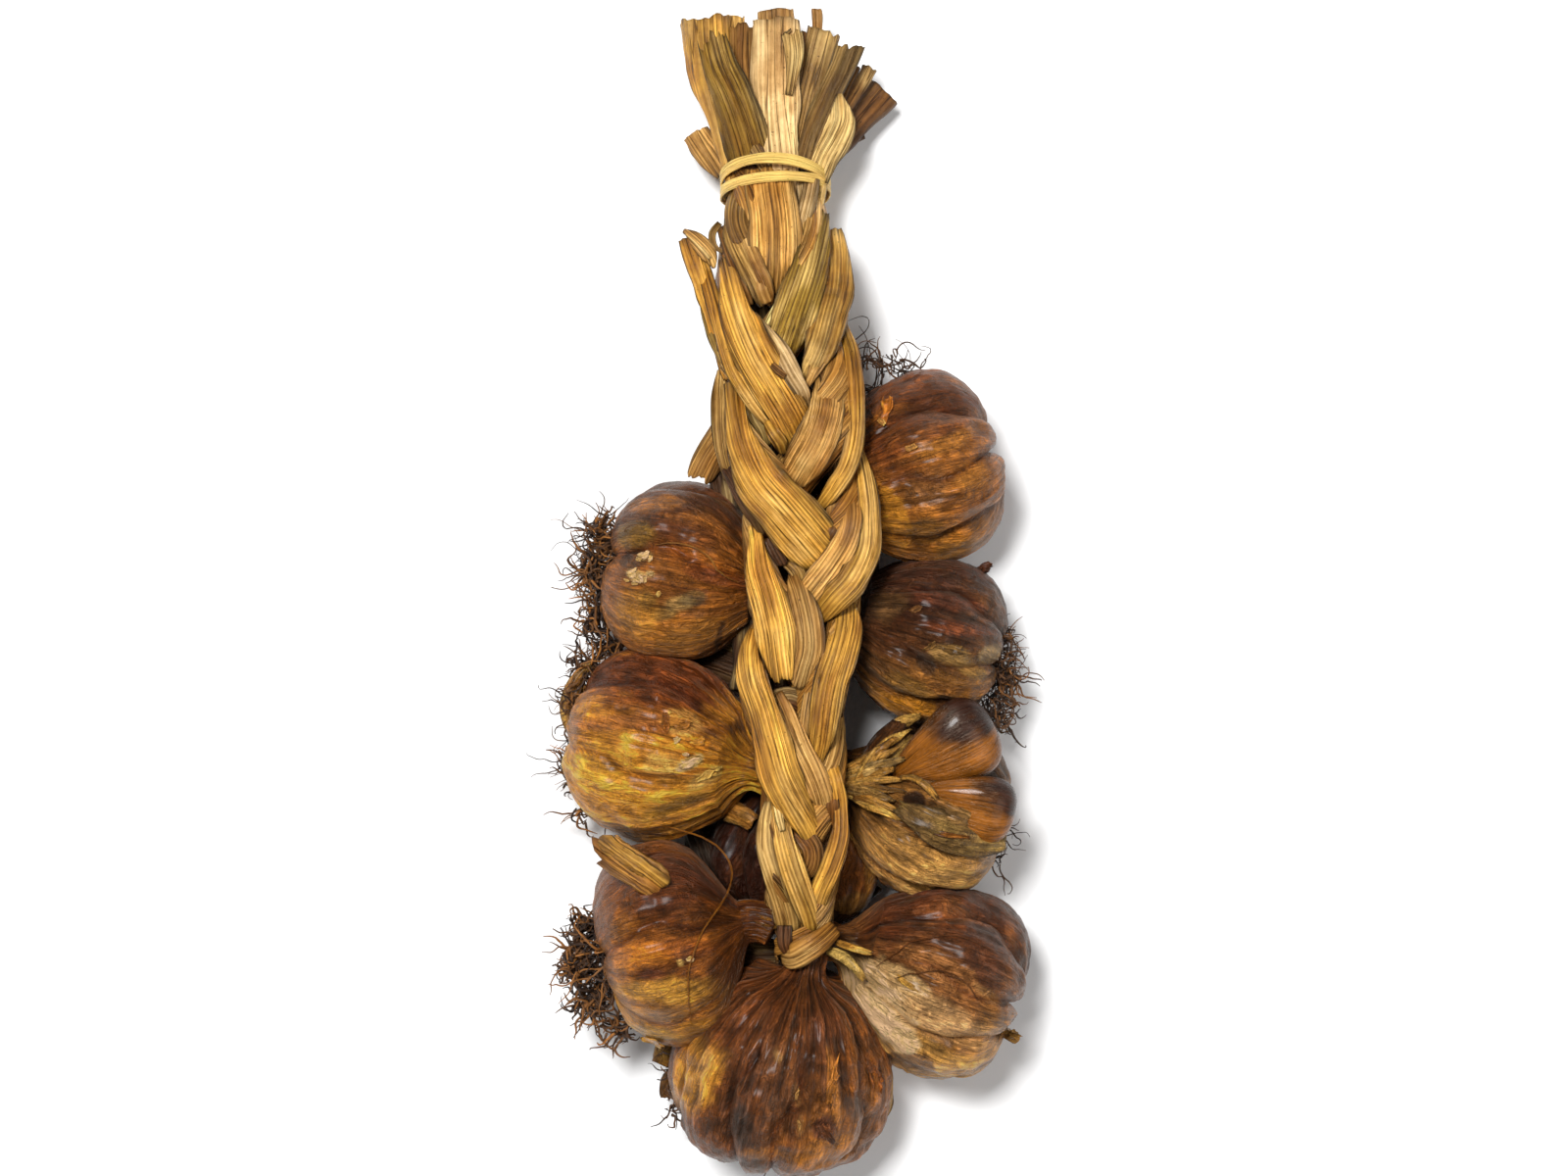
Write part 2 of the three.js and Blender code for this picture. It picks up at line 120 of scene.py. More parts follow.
def sheet_grid(rows, cols):
    """Share from 0 to 1 down the rows of a grid, and place from -1 to 1 across its columns."""
    return np.linspace(0, 1, rows)[:, None] * np.ones(cols), np.linspace(-1, 1, cols) * np.ones((rows, 1))


def ring_angles(rows, cols):
    """Angles round a ring, the same in every row."""
    return np.linspace(0, 2 * np.pi, cols, endpoint=False) * np.ones((rows, 1))


def grain_at(across, along, number):
    """The grain coordinate: across the fibres, along them, and one number for the whole leaf or bulb."""
    return np.stack(np.broadcast_arrays(across, along, float(number)), axis=-1)


def through(points, t):
    """Points on a smooth curve through the given rows, for shares t of its length in rows."""
    points = np.asarray(points, dtype=float)
    last = len(points) - 1
    at = np.clip(np.asarray(t) * last, 0, last)
    i = np.minimum(at.astype(int), last - 1)
    f = (at - i)[..., None]
    a, b, c, d = (points[np.clip(i + k, 0, last)] for k in (-1, 0, 1, 2))
    return b + f * (c - a + f * (2 * a - 5 * b + 4 * c - d + f * (3 * (b - c) + d - a))) / 2


class Patch:
    """Points, four-cornered faces, and a grain coordinate and a tint for every point."""

    def __init__(self, points, faces, grain, tint):
        self.points = points.reshape(-1, 3)
        self.faces = faces
        self.grain = np.broadcast_to(grain, points.shape).reshape(-1, 3)
        self.tint = np.broadcast_to(tint, points.shape).reshape(-1, 3)


def grid_faces(rows, cols, wrap=False):
    i, j = np.meshgrid(np.arange(rows - 1), np.arange(cols if wrap else cols - 1), indexing="ij")
    a = i * cols + j
    b = i * cols + (j + 1) % cols
    return np.stack([a, b, b + cols, a + cols], axis=-1).reshape(-1, 4)


def grid_normals(p, wrap=False):
    across = np.roll(p, -1, axis=1) - np.roll(p, 1, axis=1) if wrap else np.gradient(p, axis=1)
    return unit(np.cross(across, np.gradient(p, axis=0)))


def cap_faces(first, sides, flip):
    """Faces that close a ring with an even number of sides."""
    faces = [[0, k, k + 1, k + 2] for k in range(1, sides - 2, 2)]
    faces = np.array(faces) + first
    return faces[:, ::-1] if flip else faces


def tube_patch(p, grain, tint):
    """A closed tube through rings of points, with a flat cap at each end."""
    rows, cols = p.shape[:2]
    ends = [cap_faces(0, cols, True), cap_faces((rows - 1) * cols, cols, False)]
    return Patch(p, np.concatenate([grid_faces(rows, cols, wrap=True), *ends]), grain, tint)


def sheet_patch(p, thickness, grain, tint, wrap=False):
    """A closed thin sheet whose middle is the grid p."""
    rows, cols = p.shape[:2]
    n = grid_normals(p, wrap) * thickness / 2
    count = rows * cols
    front = grid_faces(rows, cols, wrap)
    index = np.arange(count).reshape(rows, cols)
    if wrap:
        loops = [np.append(index[0], index[0, 0]), np.append(index[-1], index[-1, 0])[::-1]]
    else:
        sides = [index[0], index[1:, -1], index[-1, -2::-1], index[-2::-1, 0]]
        loops = [np.concatenate(sides)]
    rims = [np.stack([r[1:], r[:-1], r[:-1] + count, r[1:] + count], axis=-1) for r in loops]
    faces = np.concatenate([front, front[:, ::-1] + count, *rims])
    grain = np.broadcast_to(grain, p.shape)
    tint = np.broadcast_to(tint, p.shape)
    return Patch(np.stack([p + n, p - n]), faces, np.stack([grain, grain]), np.stack([tint, tint]))


def section_axes(way):
    """Across and out, square to a direction, with out as near as can be to straight up."""
    across = unit(np.cross(UP, way))
    return across, np.cross(way, across)


WIRE_SIDES = 4


def wire(line, radii, tint, seed):
    """A thin tube along a line of points."""
    tangent = unit(np.gradient(line, axis=0))
    side = unit(np.cross(tangent, vec(0.3, -0.5, 0.8)))
    other = np.cross(tangent, side)
    angle = np.linspace(0, 2 * np.pi, WIRE_SIDES, endpoint=False)
    ring = np.cos(angle)[:, None] * side[:, None] + np.sin(angle)[:, None] * other[:, None]
    p = line[:, None] + ring * radii[:, None, None]
    along = np.cumsum(np.linalg.norm(np.diff(line, axis=0, prepend=line[:1]), axis=1))
    return tube_patch(p, grain_at(angle, along[:, None], seed), tint)


PIECES = []


def add_piece(name, patches, slot, material, *nodes):
    """Keeps one piece, which stands for the given CAD nodes, until all are known."""
    points = np.concatenate([q.points for q in patches])
    points[:, 2] = np.maximum(points[:, 2], FLOOR_CLEARANCE)
    starts = np.cumsum([0] + [len(q.points) for q in patches[:-1]])
    faces = np.concatenate([q.faces + start for q, start in zip(patches, starts)])
    grain = np.concatenate([q.grain for q in patches])
    tint = np.concatenate([q.tint for q in patches])
    PIECES.append((name, points, faces, grain, tint, slot, material, nodes))


def point_normals(points, faces):
    """The direction outwards at every point, from the faces round it."""
    a, b, c, d = (points[faces[:, k]] for k in range(4))
    normal = np.cross(c - a, d - b)
    total = np.zeros_like(points)
    for k in range(4):
        for axis in range(3):
            total[:, axis] += np.bincount(faces[:, k], normal[:, axis], len(points))
    return unit(total)


def blurred(grid, radius):
    """The grid averaged over a square window, three times, which is close to a round blur."""
    for _ in range(3):
        for axis in (0, 1):
            pad = [(radius + 1, radius) if k == axis else (0, 0) for k in (0, 1)]
            total = np.cumsum(np.pad(grid, pad, mode="edge"), axis=axis)
            high = np.take(total, np.arange(2 * radius + 1, total.shape[axis]), axis=axis)
            low = np.take(total, np.arange(0, total.shape[axis] - 2 * radius - 1), axis=axis)
            grid = (high - low) / (2 * radius + 1)
    return grid


HOLLOW_SHADE_CELL = 0.5


def painted_hollow_shade(pieces):
    """For each piece, how much painted shade darkens each point: most where it lies deep below its
    neighbours, in hollows and gaps.
    """
    everything = np.concatenate([piece[1] for piece in pieces])
    corner = everything[:, :2].min(axis=0) - 10
    size = ((everything[:, :2].max(axis=0) + 10 - corner) / HOLLOW_SHADE_CELL).astype(int) + 1
    cells = ((everything[:, :2] - corner) / HOLLOW_SHADE_CELL).astype(int)
    top = np.zeros(size)
    np.maximum.at(top, (cells[:, 0], cells[:, 1]), everything[:, 2])
    near, wide = blurred(top, 2), blurred(top, 7)
    shares = []
    for piece in pieces:
        cell = ((piece[1][:, :2] - corner) / HOLLOW_SHADE_CELL).astype(int)
        facing = smooth(-0.2, 0.3, point_normals(piece[1], piece[2])[:, 2])
        z = piece[1][:, 2]
        depth = smooth(0.3, 5, near[cell[:, 0], cell[:, 1]] - z) * 0.6
        depth = depth + smooth(0, 16, wide[cell[:, 0], cell[:, 1]] - z) * 0.6
        shares.append(np.clip(depth, 0, 1) * facing)
    return shares


def make_piece(name, points, faces, grain, tint, slot, material, nodes):
    """Makes a piece's mesh and object, and hides the CAD nodes that it stands for."""
    mesh = bpy.data.meshes.new(name)
    mesh.vertices.add(len(points))
    mesh.vertices.foreach_set("co", ((points + SHIFT) * MM).ravel())
    mesh.loops.add(faces.size)
    mesh.loops.foreach_set("vertex_index", faces.ravel())
    mesh.polygons.add(len(faces))
    mesh.polygons.foreach_set("loop_start", np.arange(0, faces.size, 4))
    mesh.update(calc_edges=True)
    mesh.polygons.foreach_set("use_smooth", np.ones(len(faces), dtype=bool))
    mesh.attributes.new("grain", "FLOAT_VECTOR", "POINT").data.foreach_set("vector", grain.ravel())
    colours = np.column_stack([np.clip(tint, 0, 1), np.ones(len(tint))])
    mesh.attributes.new("tint", "FLOAT_COLOR", "POINT").data.foreach_set("color", colours.ravel())
    mesh.materials.append(material)
    piece = bpy.data.objects.new(name, mesh)
    bpy.context.scene.collection.objects.link(piece)
    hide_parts(*nodes)
    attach(piece, "root")


# ---- Materials ----


class Shader:
    """A material whose nodes are added one by one."""

    def __init__(self, name):
        self.material = bpy.data.materials.new(name)
        self.material.use_nodes = True
        self.tree = self.material.node_tree
        self.tree.nodes.clear()

    def add(self, kind, inputs=None, **settings):
        """A new node. An input is another node's output or a plain value."""
        made = self.tree.nodes.new("ShaderNode" + kind)
        for key, value in settings.items():
            setattr(made, key, value)
        for key, value in (inputs or {}).items():
            if isinstance(value, bpy.types.NodeSocket):
                self.tree.links.new(value, made.inputs[key])
            else:
                made.inputs[key].default_value = value
        return made

    def grain_and_tint(self):
        """What every point of a piece carries."""
        grain = self.add("Attribute", attribute_name="grain").outputs["Vector"]
        return grain, self.add("Attribute", attribute_name="tint").outputs["Color"]

    def noise(self, vector, stretch, detail=3.0, roughness=0.55, distortion=0.0):
        """Noise from 0 to 1 on the grain coordinate, stretched by a scale for each axis."""
        scaled = self.add("VectorMath", {0: vector, 1: stretch}, operation="MULTIPLY").outputs[0]
        inputs = {"Vector": scaled, "Scale": 1.0, "Detail": detail, "Roughness": roughness}
        return self.add("TexNoise", inputs | {"Distortion": distortion}).outputs["Fac"]

    def ridge(self, *settings):
        """How far noise is from its middle value, which is 0 along thin wandering lines."""
        return self.math("ABSOLUTE", self.math("SUBTRACT", self.noise(*settings), 0.5), 0.0)

    def remap(self, value, low, high, to_low, to_high, eased=False):
        """A number that goes from to_low to to_high as the value goes from low to high."""
        inputs = {"Value": value, "From Min": low, "From Max": high, "To Min": to_low, "To Max": to_high}
        kind = "SMOOTHSTEP" if eased else "LINEAR"
        return self.add("MapRange", inputs, interpolation_type=kind).outputs["Result"]

    def math(self, operation, a, b):
        return self.add("Math", {0: a, 1: b}, operation=operation).outputs[0]

    def product(self, *factors):
        """Numbers multiplied together."""
        result = factors[0]
        for factor in factors[1:]:
            result = self.math("MULTIPLY", result, factor)
        return result

    def total(self, *terms):
        """The sum of numbers, each given with its weight."""
        result = self.math("MULTIPLY", *terms[0])
        for term in terms[1:]:
            result = self.math("ADD", result, self.math("MULTIPLY", *term))
        return result

    def mix(self, share, a, b, blend_type="MIX"):
        """A share of colour b laid over colour a."""
        settings = dict(data_type="RGBA", blend_type=blend_type, clamp_result=True)
        return self.add("Mix", {0: share, 6: a, 7: b}, **settings).outputs[2]

    def shade(self, colour, factor):
        """A colour times a number."""
        return self.add("VectorMath", {0: colour, "Scale": factor}, operation="SCALE").outputs[0]

    def finish(self, colour, roughness, height, depth, **uniform):
        """Joins colour, roughness and a bump of the given depth in metres to the surface."""
        bump = self.add("Bump", {"Height": height, "Distance": depth, "Strength": 1.0})
        inputs = {"Base Color": colour, "Roughness": roughness, "Normal": bump.outputs[0]}
        inputs.update({key.replace("_", " "): value for key, value in uniform.items()})
        surface = self.add("BsdfPrincipled", inputs)
        self.add("OutputMaterial", {"Surface": surface.outputs[0]})
        return self.material


WARM = (1.0, 0.86, 0.68, 1.0)  # of the gloss
VEIN_WANDER = 11.0  # how far, in radians of their pitch, veins drift to the side
DARK_TAN = (0.95, 0.79, 0.56, 1.0)  # what multiplies a leaf's tint where it is darkest


def leaf_material(name, contrast, roughness, pitch, blotches=1.0):
    """Dry leaf: veins along the grain at the given pitch, finer ridges, blotches, cracks and dark specks."""
    s = Shader(name)
    grain, tint = s.grain_and_tint()
    wander = s.noise(grain, (0.25, 0.02, 1.0), 2.0)
    across = s.add("SeparateXYZ", {0: grain}).outputs["X"]
    phase = s.total((across, 2 * np.pi / pitch), (wander, VEIN_WANDER))
    veins = s.remap(s.math("SINE", phase, 0.0), -1.0, 1.0, 0.0, 1.0)
    fine = s.noise(grain, (2.3, 0.035, 1.0), 4.0, 0.75)
    broad = s.noise(grain, (0.5, 0.02, 1.0), 2.0)
    blotch = s.noise(grain, (0.22, 0.09, 1.0), 6.0, 0.7)
    speck = s.noise(grain, (1.6, 1.1, 1.0), 2.0)
    relief = s.total((veins, s.remap(broad, 0.35, 0.65, 0.3, 0.6)), (fine, 1.2))
    line = s.ridge(grain, (0.75, 0.012, 1.0), 2.0)
    crack = s.remap(line, 0.0, 0.024, 1 - 0.7 * blotches, 1.0, eased=True)
    light = s.product(
        s.remap(relief, 0.45, 1.35, 1 - contrast, 1 + contrast),
        s.remap(broad, 0.3, 0.7, 0.9, 1.1),
        s.remap(blotch, 0.3, 0.7, 1 - 0.4 * blotches, 1 + 0.34 * blotches),
        crack,
        s.remap(speck, 0.68, 0.73, 1.0, 0.4, eased=True),
    )
    deeper = s.mix(1.0, tint, DARK_TAN, "MULTIPLY")
    colour = s.mix(s.remap(light, 1.05, 0.5, 0.0, 1.0), tint, deeper)
    height = s.total((relief, 1.0), (broad, 0.8), (crack, 0.7))
    rough = s.remap(blotch, 0.3, 0.7, roughness - 0.13, roughness + 0.08)
    return s.finish(
        s.shade(colour, light), rough, height, 0.00055, Specular_IOR_Level=0.5, Specular_Tint=WARM,
    )


DEEP_PURPLE = (0.045, 0.014, 0.007, 1.0)  # in the dark lines of a skin
SMOKE_WARMTH = (1.72, 1.53, 0.95, 1.0)  # what warms and lifts every skin's tint
PALEST_SKIN = (0.84, 0.53, 0.28, 1.0)  # no channel goes above these


def skin_material():
    """Smoked skin: satin, with dark lines from root to neck, folds, fine splits and paler scuffs."""
    s = Shader("smoked_skin")
    grain, tint = s.grain_and_tint()
    lines = s.noise(grain, (1.3, 0.07, 1.0), 5.0, 0.7, 0.4)
    fine = s.noise(grain, (2.0, 0.7, 1.0), 4.0, 0.7, 0.6)
    blotch = s.noise(grain, (0.26, 0.2, 1.0), 8.0, 0.76, 0.4)
    scuff = s.noise(grain, (0.5, 0.32, 2.0), 8.0, 0.78, 0.8)
    vein = s.remap(s.ridge(grain, (0.85, 0.03, 1.0), 3.0, 0.55, 0.6), 0.0, 0.026, 0.0, 1.0, eased=True)
    split = s.remap(s.ridge(grain, (0.14, 0.3, 1.0), 4.0, 0.6, 1.0), 0.0, 0.018, 0.0, 1.0, eased=True)
    fold = s.remap(s.ridge(grain, (0.34, 0.17, 1.0), 5.0, 0.62, 1.2), 0.0, 0.12, 0.0, 1.0)
    light = s.product(
        s.remap(lines, 0.3, 0.7, 0.76, 1.18),
        s.remap(fold, 0.0, 1.0, 0.74, 1.1),
        s.remap(fine, 0.3, 0.7, 0.8, 1.2),
        s.remap(blotch, 0.32, 0.68, 0.36, 1.5),
        s.remap(vein, 0.0, 1.0, 0.6, 1.0),
        s.remap(split, 0.0, 1.0, 0.62, 1.0),
    )
    purple = s.mix(s.remap(lines, 0.48, 0.32, 0.0, 0.4), tint, DEEP_PURPLE)
    worn = s.remap(scuff, 0.62, 0.7, 0.0, 0.5, eased=True)
    colour = s.mix(worn, s.shade(purple, light), s.shade(tint, 2.0))
    colour = s.mix(1.0, colour, SMOKE_WARMTH, "MULTIPLY")
    colour = s.mix(1.0, colour, PALEST_SKIN, "DARKEN")
    height = s.total((lines, 0.9), (fine, 0.8), (worn, 0.4), (blotch, 0.7), (vein, 0.3), (fold, 0.9))
    rough = s.total((s.remap(blotch, 0.3, 0.7, 0.28, 0.46), 1.0), (worn, 0.3))
    return s.finish(
        colour, rough, height, 0.0009,
        Specular_IOR_Level=0.5, Specular_Tint=WARM, Coat_Weight=0.1, Coat_Roughness=0.24,
    )


def clove_material():
    """Bare clove: thin glossy skin with faint lines."""
    s = Shader("clove_skin")
    grain, tint = s.grain_and_tint()
    lines = s.noise(grain, (1.1, 0.07, 1.0), 4.0, 0.7, 0.5)
    blotch = s.noise(grain, (0.16, 0.14, 1.0), 4.0, 0.6)
    light = s.product(
        s.remap(lines, 0.3, 0.7, 0.5, 1.35),
        s.remap(blotch, 0.3, 0.7, 0.5, 1.3),
        s.remap(s.ridge(grain, (0.5, 0.03, 1.0), 3.0, 0.6, 0.6), 0.0, 0.03, 0.45, 1.0, eased=True),
    )
    rough = s.remap(blotch, 0.3, 0.7, 0.2, 0.36)
    return s.finish(
        s.shade(tint, light), rough, lines, 0.0007,
        Specular_IOR_Level=0.3, Specular_Tint=WARM, Coat_Weight=0.13, Coat_Roughness=0.13,
    )


def root_material():
    """Wiry root hair: dark, with paler and redder stretches."""
    s = Shader("root_hair")
    grain, tint = s.grain_and_tint()
    along = s.noise(grain, (1.0, 0.25, 1.0), 3.0, 0.6)
    colour = s.shade(tint, s.remap(along, 0.3, 0.7, 0.5, 1.6))
    return s.finish(colour, s.remap(along, 0.3, 0.7, 0.55, 0.8), along, 0.0002)


LEAF = leaf_material("dry_leaf", 0.46, 0.46, 1.0)
STALK = leaf_material("dry_stalk", 0.3, 0.56, 1.05)
RAFFIA = leaf_material("pale_raffia", 0.12, 0.42, 0.8, blotches=0.3)
SKIN = skin_material()
CLOVE = clove_material()
ROOT = root_material()

GOLD = rgb(212, 156, 62)
TAN = rgb(200, 150, 80)
WARM_TAN = rgb(214, 158, 78)
KHAKI = rgb(164, 126, 66)
OLIVE = rgb(140, 108, 36)
BROWN = rgb(140, 94, 42)
DARK = rgb(84, 50, 24)
PALE = rgb(236, 200, 128)
GREY = rgb(206, 172, 122)
AMBER = rgb(184, 128, 54)
BURNT = vec(0.62, 0.5, 0.34)  # what smoke leaves of each colour

# ---- Leaves ----


def leaf_tint(tint, u, v, x, t, seed):
    """A dry leaf's colour: blotches of brown and of pale, streaks along it, dark edges, and painted shade at
    both ends, where it tucks under other leaves.
    """
    patch = fbm(u / 5, v / 17, seed, seed + 3, 3)
    streak = fbm(u / 1.3, v / 40, seed, seed + 4, 2)
    colour = blend(tint, tint * BURNT, 0.85 * smooth(0.05, 0.45, patch))
    colour = blend(colour, tint * 0.65 + PALE * 0.55, 0.6 * smooth(-0.08, -0.5, patch))
    edge = smooth(0.8, 1.0, np.abs(x + 0.1 * noise(v / 6, seed, 0, seed)))
    # ends: painted shade where the leaf tucks under others.
    ends = smooth(0.1, 0.0, t) + smooth(0.9, 1.0, t)
    light = (1 + 0.3 * streak) * (1 - 0.62 * edge) * (1 - 0.5 * ends)
    return colour * light[..., None]


def ribbon(path, width, tint, seed, spread=60, depth=0.5, ragged=(0, 0), thickness=0.3, folds=0.55,
           cross=0.0, twist=(0, 0), open_end=0.0):
    """A dry leaf along a path, closed and thin.

    width is a list along the path. The section is an arc that reaches spread degrees to each side of the
    direction out, and depth scales how far it bows. ragged says how far the first and last ends are torn
    back, twist how many degrees the section turns by each end, cross how high the wrinkles across it are, and
    open_end how much the last end spreads.
    """
    width = np.atleast_1d(np.array(width, dtype=float))
    length = np.linalg.norm(np.diff(through(path, np.linspace(0, 1, 60)), axis=0), axis=1).sum()
    rows = int(np.clip(length, 14, 96))
    cols = int(np.clip(width.max() / 0.6, 8, 28))
    t, x = sheet_grid(rows, cols)
    torn = [0.5 + 0.8 * fbm(x * 3.5 + 3 * k, seed * 3.1, k, seed + k, 3) for k in (0, 1)]
    low, high = (torn[k] * ragged[k] / length for k in (0, 1))
    t = low + t * (1 - low - high)
    centre = through(path, t)
    step = 1e-3
    way = unit(through(path, t + step) - through(path, t - step))
    across, outwards = section_axes(way)
    half = through(width[:, None], t)[..., 0] / 2
    half = half * (1 + 0.08 * noise(t * length / 7, np.sign(x) * 3, seed, seed + 8))
    angle = np.radians(x * spread)
    turned = np.radians(twist[0] + (twist[1] - twist[0]) * t)[..., None]
    across, outwards = (
        across * np.cos(turned) + outwards * np.sin(turned),
        outwards * np.cos(turned) - across * np.sin(turned),
    )
    bow = half / np.sin(np.radians(min(spread, 90)))
    deep = bow * depth * (1 + open_end * smooth(0.5, 1, t))
    p = centre + (bow * np.sin(angle))[..., None] * across
    p = p + (deep * (np.cos(angle) - 1))[..., None] * outwards
    u = x * half
    v = t * length
    rise = 1.5 * folds * fbm(u / 2.8, v / 30, seed, seed, 3)
    rise = rise + 0.6 * folds * fbm(u / 1.1, v / 60, seed, seed + 5, 2)
    rise = rise + cross * fbm(u / 9, v / 1.6, seed, seed + 6, 2)
    rise = rise + 0.5 * smooth(0.75, 1, np.abs(x)) * noise(v / 5, np.sign(x) * 2, seed, seed + 7)
    p = p + grid_normals(p) * rise[..., None]
    # Painted light and shade: the tint is lighter where a fold rises and darker where it sinks.
    light = 1 + 0.4 * np.clip(rise / max(folds, 0.2), -1, 1)
    tint = leaf_tint(tint, u, v, x, t, seed) * light[..., None]
    return sheet_patch(p, thickness, grain_at(u, v, seed * 7.3), tint)


def leaf(path, widths, tint, **features):
    """An entry in a table of leaves: a ribbon's path, widths and tint, and what else is its own."""
    return path, widths, tint, features


def ribbons(entries, first_seed, **shared):
    """A ribbon for each entry of a table."""
    return [ribbon(*entry[:3], first_seed + k, **shared, **entry[3]) for k, entry in enumerate(entries)]


# ---- The plait ----

KNOT_Y = -103
CUT_Y = 126
PLAIT_PITCH = 108
SLACK_PITCH = 200
SLACK_Y = 85
STRAND_LEADS = {"a": 97, "b": 25, "c": 61}

# y, then the middle line's x and z, sway, heave, and a strand's half width and half thickness, as in the
# solids.
PLAIT = vec(
    [-104, 5.6, 41, 3.2, 2.4, 3.8, 2.8],
    [-84, 3.6, 44, 7.5, 4.5, 5.0, 3.6],
    [-56, 4.8, 45.5, 8.3, 5.0, 5.5, 3.8],
    [-28, 2.0, 46, 11.0, 5.5, 6.5, 4.2],
    [0, 5.5, 46, 12.5, 6.0, 7.0, 4.5],
    [41, 3.0, 46, 15.5, 6.5, 8.0, 4.6],
    [69, -2.0, 42, 14.5, 6.5, 8.0, 4.6],
    [97, -3.0, 29, 12.0, 6.0, 7.5, 4.6],
    [117, -3.0, 20, 8.0, 5.2, 6.6, 4.6],
    [130, -3.0, 17, 8.0, 5.2, 6.6, 4.6],
)


def plait_at(y):
    """The plait's six values at each height, on a smooth curve through the stations."""
    y = np.asarray(y, dtype=float)
    last = len(PLAIT) - 2
    i = np.clip(np.searchsorted(PLAIT[:, 0], y, side="right") - 1, 0, last)
    a, b, c, d = (PLAIT[np.clip(i + k, 0, last + 1)] for k in (-1, 0, 1, 2))
    span = (c - b)[..., :1]
    t = (y[..., None] - b[..., :1]) / span
    start = (c - a) / (c - a)[..., :1] * span
    end = (d - b) / (d - b)[..., :1] * span
    value = b * (1 + t * t * (2 * t - 3)) + start * t * (1 - t) ** 2
    value = value + c * t * t * (3 - 2 * t) - end * t * t * (1 - t)
    return value[..., 1:]


def strand_phase(y, lead):
    above = np.maximum(y, SLACK_Y) - SLACK_Y
    return np.pi * (0.5 + 2 * (lead - np.minimum(y, SLACK_Y)) / PLAIT_PITCH - 2 * above / SLACK_PITCH)


def strand_point(y, lead):
    x, z, sway, heave = np.moveaxis(plait_at(y)[..., :4], -1, 0)
    phase = strand_phase(y, lead)
    return np.stack([x + sway * np.sin(phase), y, z - heave * np.sin(2 * phase)], axis=-1)


def strand_section(y, lead):
    """Middle, across, out, half width and half thickness of a strand at each height."""
    values = plait_at(y)
    sway, heave, half_width, half_thickness = np.moveaxis(values[..., 2:], -1, 0)
    phase = strand_phase(y, lead)
    way = unit(strand_point(y + 1, lead) - strand_point(y - 1, lead))
    face = np.stack([2 * heave * np.cos(2 * phase), np.zeros_like(y), sway * np.cos(phase)], axis=-1)
    across = unit(np.cross(face, way))
    return strand_point(y, lead), across, np.cross(way, across), half_width, half_thickness


ROUND = np.linspace(0, 2 * np.pi, 361)
FLATNESS = 1.65  # half width over half thickness of a usual strand
ROUND_STEPS = np.hypot(np.diff(FLATNESS * np.cos(ROUND)), np.diff(np.sin(ROUND)))
ROUND_SHARE = np.append(0, np.cumsum(ROUND_STEPS))
ROUND_SHARE /= ROUND_SHARE[-1]
CORE_SIZE = 0.86


def strand_leaf(lead, y0, y1, place, drift, width, tint, seed, ragged, rows=96, cols=16):
    """A leaf laid along a strand's core. place and drift are shares of the way round its section."""
    t, x = sheet_grid(rows, cols)
    torn = [0.5 + 0.5 * fbm(x * 5 + 4 * k, seed * 2.7, k, seed + k, 3) for k in (0, 1)]
    low, high = (torn[k] * ragged[k] / (y1 - y0) for k in (0, 1))
    y = y0 + (y1 - y0) * (low + t * (1 - low - high))
    middle, across, out, half_width, half_thickness = strand_section(y, lead)
    half_width, half_thickness = half_width * CORE_SIZE, half_thickness * CORE_SIZE
    girth = 2 * np.pi * np.sqrt((half_width**2 + half_thickness**2) / 2)
    slim = 1 - 0.25 * smooth(0.12, 0, t) - 0.25 * smooth(0.88, 1, t) + 0.12 * noise(t * 9, seed, 0, seed)
    reach = width / 2 * slim * np.interp(y[:, :1], [-104, -60, 40], [0.5, 0.7, 1.0])
    share = place + drift * (t - 0.5) + 0.03 * noise(t * 7, seed, 3, seed + 2) + x * reach / girth
    angle = np.interp(share % 1, ROUND_SHARE, ROUND)
    cos, sin = np.cos(angle)[..., None], np.sin(angle)[..., None]
    a, b = half_width[..., None], half_thickness[..., None]
    n = unit(b * cos * across + a * sin * out)
    u = x * reach
    rise = 0.5 + 0.5 * fbm(u / 3.2, y / 34, seed, seed + 4, 3) + 0.3 * fbm(u / 1.2, y / 90, seed, seed + 5, 2)
    rise = rise + np.abs(x) ** 5 * (0.1 + 0.5 * noise(t * 12, x * 0.6, seed, seed + 6))
    p = middle + a * cos * across + b * sin * out + n * rise[..., None]
    return sheet_patch(p, 0.3, grain_at(u, y, seed * 5.7), leaf_tint(tint, u, y, x, t, seed))


def strand_core(lead, seed):
    """The dark inside of a strand, under its leaves."""
    rows, cols = 96, 24
    y = np.linspace(KNOT_Y, CUT_Y, rows)[:, None] * np.ones(cols)
    angle = ring_angles(rows, cols)
    middle, across, out, a, b = strand_section(y, lead)
    size = CORE_SIZE * (0.96 + 0.08 * fbm(np.cos(angle) * 3, np.sin(angle) * 3, y / 30, seed))
    p = middle + (a * size * np.cos(angle))[..., None] * across + (b * size * np.sin(angle))[..., None] * out
    return tube_patch(p, grain_at(angle * 6, y, seed), DARK * 0.6)


# For each strand, the leaves round its core from the knot up: last height, place and drift round the section,
# width and tint.
UNDER_LEAVES = {
    "a": [
        (CUT_Y, 0.0, 0.15, 14, AMBER),
        (110, 0.25, -0.1, 14, BROWN),
        (CUT_Y, 0.5, 0.12, 14, TAN),
        (CUT_Y, 0.75, -0.1, 15, AMBER),
    ],
    "b": [
        (CUT_Y, 0.03, -0.15, 14, TAN),
        (115, 0.28, 0.1, 14, BROWN),
        (CUT_Y, 0.52, -0.12, 14, AMBER),
        (CUT_Y, 0.76, 0.1, 15, TAN),
    ],
    "c": [
        (CUT_Y, 0.98, 0.12, 14, AMBER),
        (110, 0.24, -0.1, 14, BROWN),
        (CUT_Y, 0.48, 0.1, 14, TAN),
        (CUT_Y, 0.74, -0.12, 15, AMBER),
    ],
}
